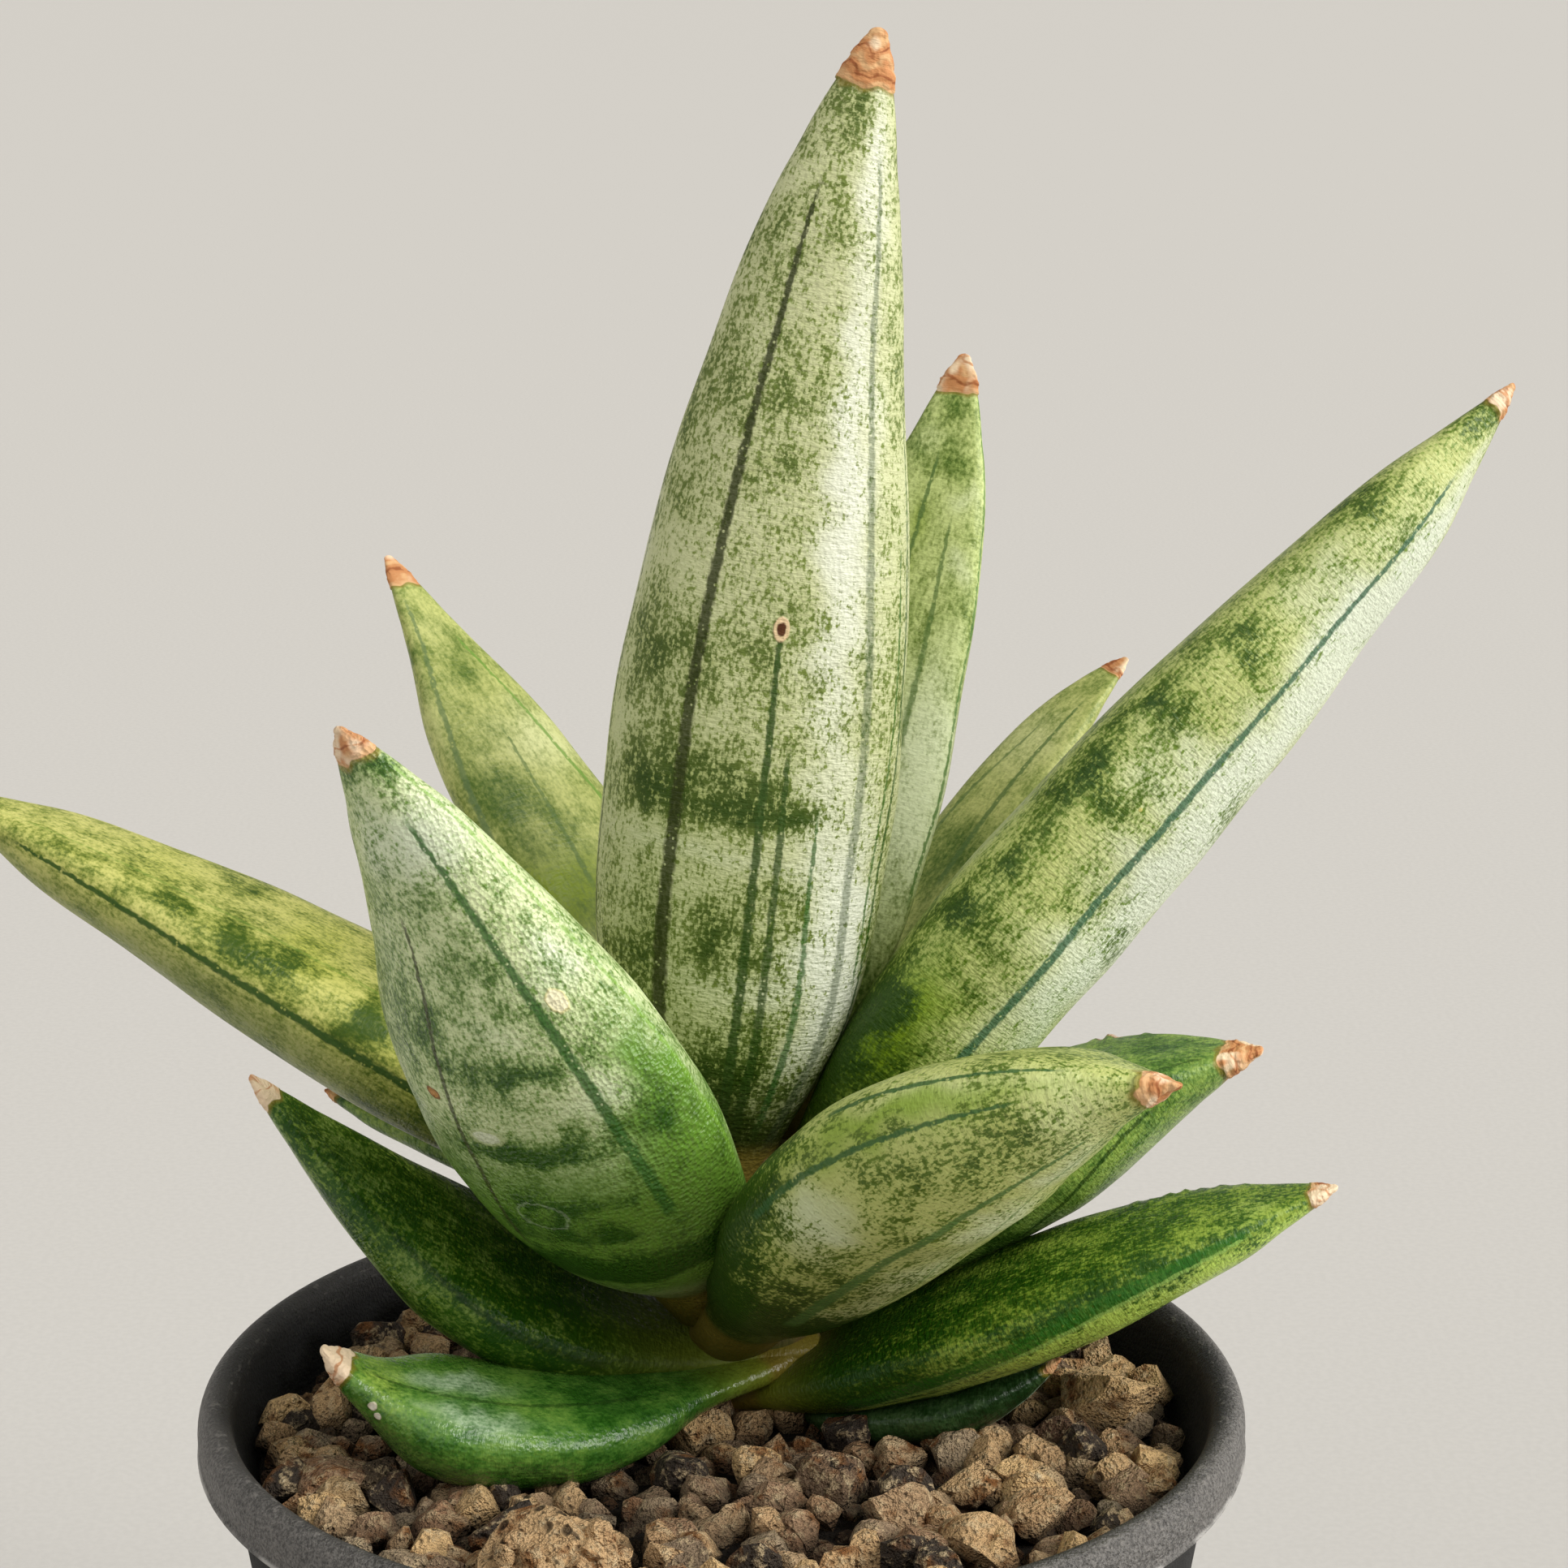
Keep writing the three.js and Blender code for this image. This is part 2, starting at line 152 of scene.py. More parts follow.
class Graph:
    """A node tree that is being laid out, with short calls for its common nodes."""

    def __init__(self, tree: bpy.types.NodeTree) -> None:
        """Hold the tree that the nodes go into."""
        self.tree = tree

    def put(
        self,
        kind: str,
        inputs: dict[str | int, object],
        output: str | int = 0,
        **settings: object,
    ) -> Value:
        """Add a node.

        Args:
            kind: The node's type name.
            inputs: What goes into it, by the input's name or place.
            output: The output that is wanted, by name or place.
            settings: Properties to set on it first.

        Returns:
            The output.
        """
        made = self.tree.nodes.new(kind)
        for name, setting in settings.items():
            setattr(made, name, setting)
        for name, value in inputs.items():
            self.feed(made.inputs[name], value)
        return Value(self, made.outputs[output])

    def feed(self, into: bpy.types.NodeSocket, value: object) -> None:
        """Link an output to an input, or set a colour's code or a plain value on it.

        Args:
            into: The input.
            value: The output, the colour as "#rrggbb" or the plain value.
        """
        if isinstance(value, Value):
            self.tree.links.new(value.socket, into)
        elif isinstance(value, str) and value.startswith("#"):
            into.default_value = paint(value)
        else:
            into.default_value = value

    def math(self, operation: str, *values: object) -> Value:
        """Add a Math node on one to three values."""
        return self.put("ShaderNodeMath", dict(enumerate(values)), operation=operation)

    def ramp(
        self,
        value: Value,
        low: object,
        high: object,
        to_low: object = 0.0,
        to_high: object = 1.0,
        smooth: bool = True,
    ) -> Value:
        """Map a range of a value to another, kept within its ends.

        Args:
            value: The value to map.
            low: Where the range starts.
            high: Where it ends.
            to_low: The result at its start.
            to_high: The result at its end.
            smooth: Whether it eases in and out.

        Returns:
            The mapped value.
        """
        names = ("Value", "From Min", "From Max", "To Min", "To Max")
        inputs = dict(zip(names, (value, low, high, to_low, to_high)))
        kind = "SMOOTHSTEP" if smooth else "LINEAR"
        return self.put("ShaderNodeMapRange", inputs, interpolation_type=kind)

    def mix(self, share: object, first: object, second: object) -> Value:
        """Lay a share of the second colour over the first."""
        return self.put("ShaderNodeMix", {0: share, 6: first, 7: second}, 2, data_type="RGBA")

    def layers(self, colour: Value, *tops: tuple[Value, object]) -> Value:
        """Lay colours over one another.

        Args:
            colour: The colour below.
            tops: The share and the colour of each layer, upwards.

        Returns:
            The colour.
        """
        for share, top in tops:
            colour = self.mix(share, colour, top)
        return colour

    def scaled(self, vector: Value, factors: Spot) -> Value:
        """Stretch a vector by a factor along each axis."""
        return self.put("ShaderNodeVectorMath", {0: vector, 1: factors}, operation="MULTIPLY")

    def shifted(self, vector: Value, amount: Spot) -> Value:
        """Move a vector."""
        return self.put("ShaderNodeVectorMath", {0: vector, 1: amount}, operation="ADD")

    def length(self, vector: Value) -> Value:
        """Give the length of a vector."""
        return self.put("ShaderNodeVectorMath", {0: vector}, "Value", operation="LENGTH")

    def parts(self, vector: Value) -> list[Value]:
        """Take a vector apart."""
        outputs = self.put("ShaderNodeSeparateXYZ", {0: vector}).socket.node.outputs
        return [Value(self, part) for part in outputs]

    def clouds(
        self, vector: Value, scale: float, detail: float = 2.0, rough: float = 0.5
    ) -> Value:
        """Add a noise, whose values lie about 0.5.

        Args:
            vector: Where it is read.
            scale: Its fineness, a metre.
            detail: How many finer layers it has.
            rough: How strong they are.

        Returns:
            Its value.
        """
        inputs = {"Vector": vector, "Scale": scale, "Detail": detail, "Roughness": rough}
        return self.put("ShaderNodeTexNoise", inputs, "Fac")

    def cells(self, vector: Value, scale: float) -> Value:
        """Add a cell pattern and give the distance to each cell's point."""
        return self.put("ShaderNodeTexVoronoi", {"Vector": vector, "Scale": scale}, "Distance")

    def attribute(self, name: str, output: str = "Vector") -> Value:
        """Read an attribute of the piece."""
        return self.put("ShaderNodeAttribute", {}, output, attribute_name=name)

    def place(self) -> Value:
        """Read the place on the piece."""
        return self.put("ShaderNodeTexCoord", {}, "Object")

    def bump(self, height: Value, strength: float, distance: float) -> Value:
        """Turn a height into a bent normal."""
        inputs = {"Strength": strength, "Distance": distance, "Height": height}
        return self.put("ShaderNodeBump", inputs, "Normal")

    def ports(self, outputs: bpy.types.NodeOutputs) -> Ports:
        """Give outputs by their names in small letters, with _ for each space."""
        named = {out.name.lower().replace(" ", "_"): out for out in outputs if out.name}
        return Ports(**{name: Value(self, out) for name, out in named.items()})

    def use(self, group: bpy.types.NodeTree, **values: object) -> Ports:
        """Place a node group.

        Args:
            group: The group.
            values: What goes into its inputs, by name.

        Returns:
            Its outputs by name.
        """
        inputs = {socket_name(name): value for name, value in values.items()}
        node = self.put("ShaderNodeGroup", inputs, node_tree=group).socket.node
        return self.ports(node.outputs)

    def close(self, **results: Value) -> bpy.types.NodeTree:
        """Give a group its outputs by name; one called color is a colour.

        Args:
            results: What each gives.

        Returns:
            The finished tree.
        """
        for name in results:
            kind = "NodeSocketColor" if name == "color" else "NodeSocketFloat"
            self.tree.interface.new_socket(
                socket_name(name), in_out="OUTPUT", socket_type=kind
            )
        end = self.tree.nodes.new("NodeGroupOutput")
        for name, value in results.items():
            self.feed(end.inputs[socket_name(name)], value)
        return self.tree


def socket_name(name: str) -> str:
    """Write a name of the script as the name of a socket."""
    return name.replace("_", " ").title()


def open_group(name: str, **inputs: float | None) -> tuple[Graph, Ports]:
    """Start a shader node group with named inputs.

    Args:
        name: The group's name.
        inputs: What each input has when nothing is fed to it; None makes it a vector.

    Returns:
        The graph to lay out, and the group's inputs by name.
    """
    tree = bpy.data.node_groups.new(name, "ShaderNodeTree")
    for key, value in inputs.items():
        kind = "NodeSocketVector" if value is None else "NodeSocketFloat"
        made = tree.interface.new_socket(socket_name(key), in_out="INPUT", socket_type=kind)
        if value is not None:
            made.default_value = value
    graph = Graph(tree)
    return graph, graph.ports(tree.nodes.new("NodeGroupInput").outputs)


def vein_group() -> bpy.types.NodeTree:
    """Make the group that draws one dark line down a leaf.

    Returns:
        The group.
    """
    graph, at = open_group(
        "leaf_vein", turn=0.0, share=0.0, reach=0.0, ragged=0.0, dots=0.0,
        top_share=0.9, low_share=0.2, top_turn=0.0, low_turn=0.0,
        top_half=0.2, low_half=0.5, strength=1.0,
    )
    fade, shake, bare_dots, margin = 0.03, 0.55, 0.75, 0.07
    run = graph.ramp(at.share, at.top_share, at.low_share, smooth=False)
    centre = graph.ramp(run, 0.0, 1.0, at.top_turn, at.low_turn, smooth=False)
    half = graph.ramp(run**0.6, 0.0, 1.0, at.top_half, at.low_half, smooth=False)
    off = abs(at.turn - centre) * at.reach * PER_MM + (at.ragged - 0.5) * shake
    line = graph.ramp(off, half * 1.2 + margin, half * 0.6) * at.strength
    above = graph.ramp(at.share, at.top_share + fade, at.top_share)
    below = graph.ramp(at.share, at.low_share - fade, at.low_share)
    return graph.close(mask=line * (above * below) * (1.0 - at.dots * bare_dots))


def mottle_group() -> bpy.types.NodeTree:
    """Make the group of fine speckles that gather in blotches and crossbands.

    Returns:
        The group.
    """
    graph, at = open_group(
        "leaf_mottle", place=None, density=0.4, banding=0.5, clump=2.0, soft=0.12
    )
    blotch = graph.clouds(graph.scaled(at.place, (1.0, 1.0, 0.75)), 360.0, 3.0, 0.62)
    band = graph.clouds(graph.scaled(at.place, (0.3, 0.3, 1.0)), 120.0, 1.0)
    fine = graph.clouds(graph.scaled(at.place, (1.0, 1.0, 0.8)), 2500.0, 2.0, 0.65)
    streak = graph.clouds(graph.scaled(at.place, (1.0, 1.0, 0.2)), 2600.0, 1.0)
    fine_gain, streak_gain, level_gain = 1.35, 0.4, 0.45
    level = at.density + (band - 0.5) * at.banding * 2.0 + (blotch - 0.5) * at.clump
    level = graph.math("MINIMUM", level, 0.98)
    grain = (fine - 0.5) * fine_gain + (streak - 0.5) * streak_gain
    speckle = graph.ramp(grain + (level - 0.5) * level_gain, at.soft * -1.0, at.soft)
    return graph.close(speckle=speckle, level=graph.ramp(level, 0.1, 1.1))


def relief_group() -> bpy.types.NodeTree:
    """Make the group of fine cross wrinkles, cells and ridges of a leaf's skin.

    Returns:
        The group.
    """
    graph, at = open_group("leaf_relief", place=None, wrinkle=0.5, pebble=0.35)
    ripple = graph.clouds(graph.scaled(at.place, (0.45, 0.45, 1.4)), 1900.0, 2.0, 0.6)
    pebbles = graph.cells(graph.scaled(at.place, (1.0, 1.0, 0.8)), 2600.0)
    ridge = graph.clouds(graph.scaled(at.place, (1.0, 1.0, 0.05)), 900.0, 1.0)
    return graph.close(height=(pebbles * at.pebble + ripple + ridge * 0.45) * at.wrinkle)


def mark_group() -> bpy.types.NodeTree:
    """Make the group that draws one healed mark: a rim round a middle.

    Returns:
        The group.
    """
    graph, at = open_group(
        "healed_mark", turn=0.0, share=0.0, reach=0.0, ragged=0.0, at_turn=0.0,
        at_share=0.0, length=80.0, wide=1.0, high=1.0, inner=0.5,
    )
    off = (at.turn - at.at_turn) * at.reach * PER_MM / at.wide
    along = (at.share - at.at_share) * at.length / at.high
    away = (off**2.0 + along**2.0) ** 0.5 + at.ragged * 0.5
    inner = at.inner + 0.25
    return graph.close(
        whole=graph.ramp(away, 1.4, 1.1), middle=graph.ramp(away, inner + 0.25, inner)
    )


def dry_group() -> bpy.types.NodeTree:
    """Make the group of a leaf's dried tip: orange-brown terraces, cream on its crest.

    Returns:
        The group.
    """
    graph, at = open_group("dried_tip", place=None, past=0.0, cream=0.5)
    ragged = graph.clouds(at.place, 420.0, 1.0)
    scaly = graph.clouds(graph.scaled(at.place, (0.5, 0.5, 1.3)), 1500.0, 2.0, 0.6)
    patch = graph.clouds(graph.scaled(at.place, (1.0, 1.0, 0.7)), 520.0, 1.0)
    terrace, waves, cream_rise = 1.15, 2.2, 0.05
    past = at.past + graph.ramp(ragged, 0.3, 0.7, -0.45, 0.45, smooth=False)
    fold = graph.math("PINGPONG", past + ragged * waves, terrace)
    ridge = fold + graph.ramp(scaly, 0.3, 0.7, -0.2, 0.2, smooth=False)
    rust = graph.mix(graph.ramp(ridge, 0.0, 0.3), "#9a5a30", "#c88a58")
    rust = graph.mix(graph.ramp(ridge, 0.5, 1.1), rust, "#dcae7c")
    pale = graph.mix(graph.ramp(ridge, 0.02, 0.3), "#cf9a70", "#f2d8b6")
    level = patch - 0.5 + at.cream + at.past * cream_rise
    return graph.close(
        mask=graph.ramp(past, -0.08, 0.08),
        edge=graph.ramp(past, -0.6, -0.1),
        color=graph.mix(graph.ramp(level, 0.5, 0.68), rust, pale),
    )


class SharedGroups:
    """The node groups that several leaves' finishes use, each built once."""

    def __init__(self) -> None:
        """Build the groups."""
        self.vein = vein_group()
        self.mottle = mottle_group()
        self.relief = relief_group()
        self.mark = mark_group()
        self.dry = dry_group()


def new_material(name: str) -> tuple[bpy.types.Material, Graph]:
    """Start a material.

    Args:
        name: Its name.

    Returns:
        The material and the graph that it is laid out in.
    """
    made = bpy.data.materials.new(name)
    made.use_nodes = True
    return made, Graph(made.node_tree)


def dress(graph: Graph, **values: object) -> None:
    """Feed the material's shader, by its inputs' names with _ for each space.

    Args:
        graph: The material's graph.
        values: What goes into each input.
    """
    inputs = graph.tree.nodes["Principled BSDF"].inputs
    for name, value in values.items():
        graph.feed(inputs[name.replace("_", " ")], value)


def new_object(name: str, data: bpy.types.ID) -> bpy.types.Object:
    """Make an object and link it to the scene.

    Args:
        name: Its name.
        data: What it shows.

    Returns:
        The object.
    """
    made = bpy.data.objects.new(name, data)
    bpy.context.scene.collection.objects.link(made)
    return made


def mesh_of(bm: bmesh.types.BMesh, name: str) -> bpy.types.Mesh:
    """Turn a mesh that was edited into a plain one.

    Args:
        bm: The edited mesh, which is freed.
        name: The plain one's name.

    Returns:
        The plain mesh.
    """
    mesh = bpy.data.meshes.new(name)
    bm.to_mesh(mesh)
    bm.free()
    return mesh


def mesh_piece(
    name: str,
    points: np.ndarray,
    faces: list[tuple[int, ...]],
    material: bpy.types.Material | None = None,
    smooth: bool = True,
) -> bpy.types.Object:
    """Make an object from points and faces.

    Args:
        name: The object's name.
        points: Its points, one a row, in metres.
        faces: Its faces as rows of point numbers.
        material: Its finish.
        smooth: Whether it is shaded smooth.

    Returns:
        The object, linked to the scene.
    """
    mesh = bpy.data.meshes.new(name)
    mesh.from_pydata(points.tolist(), [], faces)
    mesh.polygons.foreach_set("use_smooth", [smooth] * len(mesh.polygons))
    if material is not None:
        mesh.materials.append(material)
    return new_object(name, mesh)


def keep(mesh: bpy.types.Mesh, name: str, values: np.ndarray, domain: str = "POINT") -> None:
    """Store numbers on a mesh.

    Args:
        mesh: The mesh.
        name: The attribute's name.
        values: One number for each place, or three.
        domain: What each row belongs to.
    """
    kind, field = ("FLOAT", "value") if values.ndim == 1 else ("FLOAT_VECTOR", "vector")
    store = mesh.attributes.new(name, kind, domain)
    store.data.foreach_set(field, values.astype(np.float32).ravel())


def settle(piece: bpy.types.Object) -> None:
    """Turn what a piece's modifiers make into its plain mesh, and take them off.

    Args:
        piece: The piece.
    """
    bpy.context.view_layer.update()
    graph = bpy.context.evaluated_depsgraph_get()
    mesh = bpy.data.meshes.new_from_object(piece.evaluated_get(graph))
    piece.modifiers.clear()
    piece.data = mesh


def tube_faces(rings: int, sides: int, turned: bool) -> list[tuple[int, ...]]:
    """List the faces of a closed tube: its rings' points, then its first and last pole.

    Args:
        rings: How many rings it has.
        sides: How many corners each has.
        turned: Whether the faces look to the other side.

    Returns:
        The rings' faces in their order, then those of the two ends.
    """
    corners = [(side, (side + 1) % sides) for side in range(sides)]
    faces: list[tuple[int, ...]] = []
    for low in range(0, (rings - 1) * sides, sides):
        high = low + sides
        faces += [(low + a, low + b, high + b, high + a) for a, b in corners]
    last, pole = (rings - 1) * sides, rings * sides
    for a, b in corners:
        faces += [(pole, b, a), (pole + 1, last + a, last + b)]
    return [face[:1] + face[:0:-1] if turned else face for face in faces]


def lathe(profile: list[tuple[float, float]], sides: int) -> tuple[np.ndarray, list]:
    """Turn a profile round the Z axis, from the axis to the axis.

    Args:
        profile: Radius and height pairs, the first and last on the axis.
        sides: Steps round it.

    Returns:
        The points and the faces, with the outside on the right of the profile's run.
    """
    angles = np.arange(sides) * 2 * np.pi / sides
    rings = [
        np.stack([r * np.cos(angles), r * np.sin(angles), np.full(sides, z)], 1)
        for r, z in profile[1:-1]
    ]
    ends = np.array([[0, 0, profile[0][1]], [0, 0, profile[-1][1]]])
    return np.concatenate([*rings, ends]), tube_faces(len(rings), sides, False)


def placed(piece: bpy.types.Object, slot: str, node: str) -> None:
    """Ride a finished piece on the pot's body and hide the node of the solids that it replaces.

    Args:
        piece: The piece.
        slot: Its material slot; not used.
        node: The node of the solids that it replaces.
    """
    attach(piece, "root")
    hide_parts(node)
    LOG.info("%s: %d faces", piece.name, len(piece.data.polygons))


class Shown(Enum):
    """The side of a leaf that carries no seam, because it shows most.

    The value is the smallest turn that its skin stores.
    """

    BACK = -0.5
    FACE = 0.0


class Tint(Enum):
    """What a patch on a leaf does to its colour; the value is its place in a tone."""

    DARK = 0
    LIME = 1
    PALE = 2


@dataclass(frozen=True)
class Patch:
    """A soft patch: its middle as a share and a turn, its reach both ways, its strength.

    A crisp one ends sharply on the side of the leaf's foot, as its crossbands do.
    """

    tint: Tint
    crisp: bool
    share: float
    turn: float
    length: float
    spread: float
    strength: float


@dataclass(frozen=True)
class Patches:
    """The patches of a leaf, a row of numbers each; bands are dark and crisp."""

    dark: tuple[Row, ...] = ()
    bands: tuple[Row, ...] = ()
    lime: tuple[Row, ...] = ()
    pale: tuple[Row, ...] = ()

    def each(self) -> Iterator[Patch]:
        """Go through the patches.

        Yields:
            Each patch, tint by tint.
        """
        for tint, crisp, rows in (
            (Tint.DARK, False, self.dark),
            (Tint.DARK, True, self.bands),
            (Tint.LIME, False, self.lime),
            (Tint.PALE, False, self.pale),
        ):
            for row in rows:
                yield Patch(tint, crisp, *row)


@dataclass(frozen=True)
class Vein:
    """A line, from its top down: shares, turns in degrees, half widths in mm."""

    top: float
    low: float
    top_turn: float
    low_turn: float
    top_half: float = 0.15
    low_half: float = 0.5
    strength: float = 0.9
    colour: str = ""


@dataclass(frozen=True)
class Mark:
    """A healed mark: a share, a turn, half its size both ways in mm, two colours."""

    share: float
    turn: float
    wide: float
    high: float
    rim: str
    middle: str
    inner: float = 0.5
    strength: float = 1.0
    hollow: bool = False


@dataclass(frozen=True)
class LeafSkin:
    """The colours and pattern of a leaf."""

    slot: str
    ground: str
    cloud: str
    speckle: str
    deep: str
    lime: str
    pale: str
    line: str
    foot: str
    density: float
    banding: float = 0.4
    clump: float = 2.0
    soft: float = 0.12
    roughness: float = 0.4
    wrinkle: float = 0.9
    foot_reach: float = 0.1
    shine: float = 0.3
    pebble: float = 0.35


@dataclass(frozen=True)
class Leaf:
    """A leaf's form, as in the solids, in mm, and how it is dressed.

    Its teeth are small bumps on its margins: a share, a turn in degrees, a height in mm.
    Its far turn is the middle of the side that the photograph hides.
    """

    name: str
    spine: tuple[Spot, ...]
    widths: Row
    face: Spot
    fat: float
    skin: LeafSkin
    dry: float
    far: float
    shown: Shown = Shown.BACK
    cleft: float = 0.0
    cream: float = 0.3
    teeth: tuple[Spot, ...] = ()
    veins: tuple[Vein, ...] = ()
    patches: Patches = Patches()
    marks: tuple[Mark, ...] = ()

    def seed(self) -> int:
        """Give a number of the leaf's own."""
        return sum(ord(letter) for letter in self.name)

    def past(self, shares: np.ndarray) -> np.ndarray:
        """Give how far shares lie into the dried tip, from 0 to 1."""
        return np.clip((shares - self.dry) / (1 - self.dry), 0, 1)

    def stored(self, turns: Numbers) -> Numbers:
        """Give turns as the fractions of a full one that the leaf's skin stores."""
        return (turns - self.shown.value) % 1.0 + self.shown.value

    def widths_at(self, shares: np.ndarray) -> np.ndarray:
        """Give the widths at shares of the spine, on a smooth curve through its own.

        Args:
            shares: The shares.

        Returns:
            The width at each, in mm.
        """
        widths = np.array(self.widths, float)
        last = len(widths) - 1
        place = np.clip(shares * last, 0, last - 1e-9)
        step = place.astype(int)
        f = place - step
        before = widths[np.maximum(step - 1, 0)]
        low, high = widths[step], widths[step + 1]
        after = widths[np.minimum(step + 2, last)]
        curve = (2 * before - 5 * low + 4 * high - after) * f**2
        twist = (3 * low - before - 3 * high + after) * f**3
        return 0.5 * (2 * low + (high - before) * f + curve + twist)

    def spine_at(self, shares: np.ndarray) -> tuple[np.ndarray, np.ndarray]:
        """Give the spine at shares of it.

        Args:
            shares: The shares.

        Returns:
            The point at each, in mm, and the spine's direction there.
        """
        a, b, c, d = (np.array(point, float) for point in self.spine)
        t = shares[:, None]
        u = 1 - t
        points = u**3 * a + 3 * u**2 * t * b + 3 * u * t**2 * c + t**3 * d
        along = 3 * u**2 * (b - a) + 6 * u * t * (c - b) + 3 * t**2 * (d - c)
        return points, along / np.linalg.norm(along, axis=1)[:, None]

    def far_veins(self) -> Iterator[Vein]:
        """Turn the lines of the hidden side to where the skin has them.

        Yields:
            Each line.
        """
        for vein in FAR_VEINS:
            low = 360 * self.stored((vein.low_turn + self.far) / 360)
            yield replace(vein, low_turn=low, top_turn=low + vein.top_turn - vein.low_turn)

    def all_patches(self) -> Iterator[Patch]:
        """Go through the leaf's own patches and those of its hidden side.

        Yields:
            Each patch.
        """
        yield from self.patches.each()
        for patch in FAR_PATCHES.each():
            yield replace(patch, turn=patch.turn + self.far)


# Its whitish pale also lays the painted sheen on the tall centre leaf.
PALE_SKIN = LeafSkin(
    slot="leaf_pale", ground="#cfd3a2", cloud="#a9b468", speckle="#7f8f42", deep="#304a0c",
    lime="#8fa42c", pale="#eef1de", line="#2e360a", foot="#26280a", density=0.35, clump=1.2,
    soft=0.15, foot_reach=0.13,
)
GREEN_SKIN = LeafSkin(
    slot="leaf_pale", ground="#c4cc80", cloud="#9dae54", speckle="#6f8c2a", deep="#284806",
    lime="#7c981a", pale="#e0e8d0", line="#35602f", foot="#35460f", density=0.35, clump=1.6,
    soft=0.2, foot_reach=0.16,
)
OLIVE_PALE_SKIN = replace(
    GREEN_SKIN, ground="#c0c878", cloud="#a0ae54", speckle="#6c842c", deep="#2a480a",
    lime="#88a632", pale="#d4deb0", foot="#2c3c0c", density=0.35, clump=1.5, soft=0.14,
)
FRESH_SKIN = LeafSkin(
    slot="leaf_pale", ground="#d6e2ac", cloud="#8cac58", speckle="#6d9038", deep="#265006",
    lime="#669230", pale="#e0ead0", line="#33651f", foot="#5c6416", density=0.36, clump=1.7,
    soft=0.24, roughness=0.3, wrinkle=1.0, shine=0.45, pebble=0.8,
)
DARK_SKIN = LeafSkin(
    slot="leaf_dark", ground="#90a640", cloud="#74902a", speckle="#466d15", deep="#214a06",
    lime="#b4d05a", pale="#b3c795", line="#1d3e0a", foot="#7c8024", density=0.64, clump=2.1,
    soft=0.22, roughness=0.36, wrinkle=0.8, foot_reach=0.2,
)
LOW_SKIN = replace(
    DARK_SKIN, ground="#7c9250", foot="#7c862c", foot_reach=0.4, density=0.79, roughness=0.3,
)
# A darker copy of the dark skin: painted shade on the leaf that lies under another.
SHADED_SKIN = replace(
    DARK_SKIN, ground="#3f5a30", cloud="#2a4626", speckle="#26441c", deep="#14300e",
    foot="#1c2c10", density=0.75,
)
# Its whitish pale lays painted gloss highlight on the leaf on the gravel.
GLOSSY_SKIN = replace(
    DARK_SKIN, ground="#7ca344", cloud="#4f8a30", speckle="#2f6c1c", deep="#1a4a0a",
    pale="#b4cca4", density=0.58, soft=0.6, roughness=0.25, shine=0.6,
)
OLIVE_SKIN = replace(
    DARK_SKIN, ground="#93ad50", cloud="#6c9044", speckle="#467026", lime="#9ab838",
    pale="#c6d69e", density=0.5, soft=0.4,
)
# Its dull grey-green pale is partly the underside's own tone, partly painted shade there; its long
# foot reach is painted shade where the leaf lies low.
YELLOW_SKIN = LeafSkin(
    slot="leaf_yellow", ground="#d3d17a", cloud="#aab24e", speckle="#75882a", deep="#385408",
    lime="#bfc63c", pale="#84905a", line="#2f5212", foot="#4c5c10", density=0.33, clump=1.9,
    soft=0.36, wrinkle=0.5, foot_reach=0.34,
)
CREAM_SKIN = replace(
    YELLOW_SKIN, ground="#c6ca7c", cloud="#9aa654", speckle="#768a38", deep="#466614",
    lime="#8ca016", pale="#dde0a4", line="#587638", soft=0.5, wrinkle=0.35, foot_reach=0.1,
)
MINT_SKIN = replace(
    CREAM_SKIN, ground="#cfdc90", cloud="#a8be62", lime="#98b032", pale="#e8f0c8", soft=0.4,
)

FAR_VEINS = (
    Vein(0.86, 0.12, -26, -34, 0.12, 0.5, 0.8), Vein(0.8, 0.2, 20, 24, 0.1, 0.35, 0.7),
)
FAR_PATCHES = Patches(
    dark=((0.9, 8, 0.02, 50, 0.5), (0.16, 0, 0.07, 70, 0.9)),
    bands=(
        (0.79, -24, 0.024, 34, 0.6), (0.68, 22, 0.026, 30, 0.7), (0.56, -10, 0.028, 44, 0.75),
        (0.44, 18, 0.03, 40, 0.8), (0.31, -16, 0.034, 46, 0.85),
    ),
    pale=((0.62, 4, 0.04, 30, 0.4), (0.38, -6, 0.04, 34, 0.4)),
)

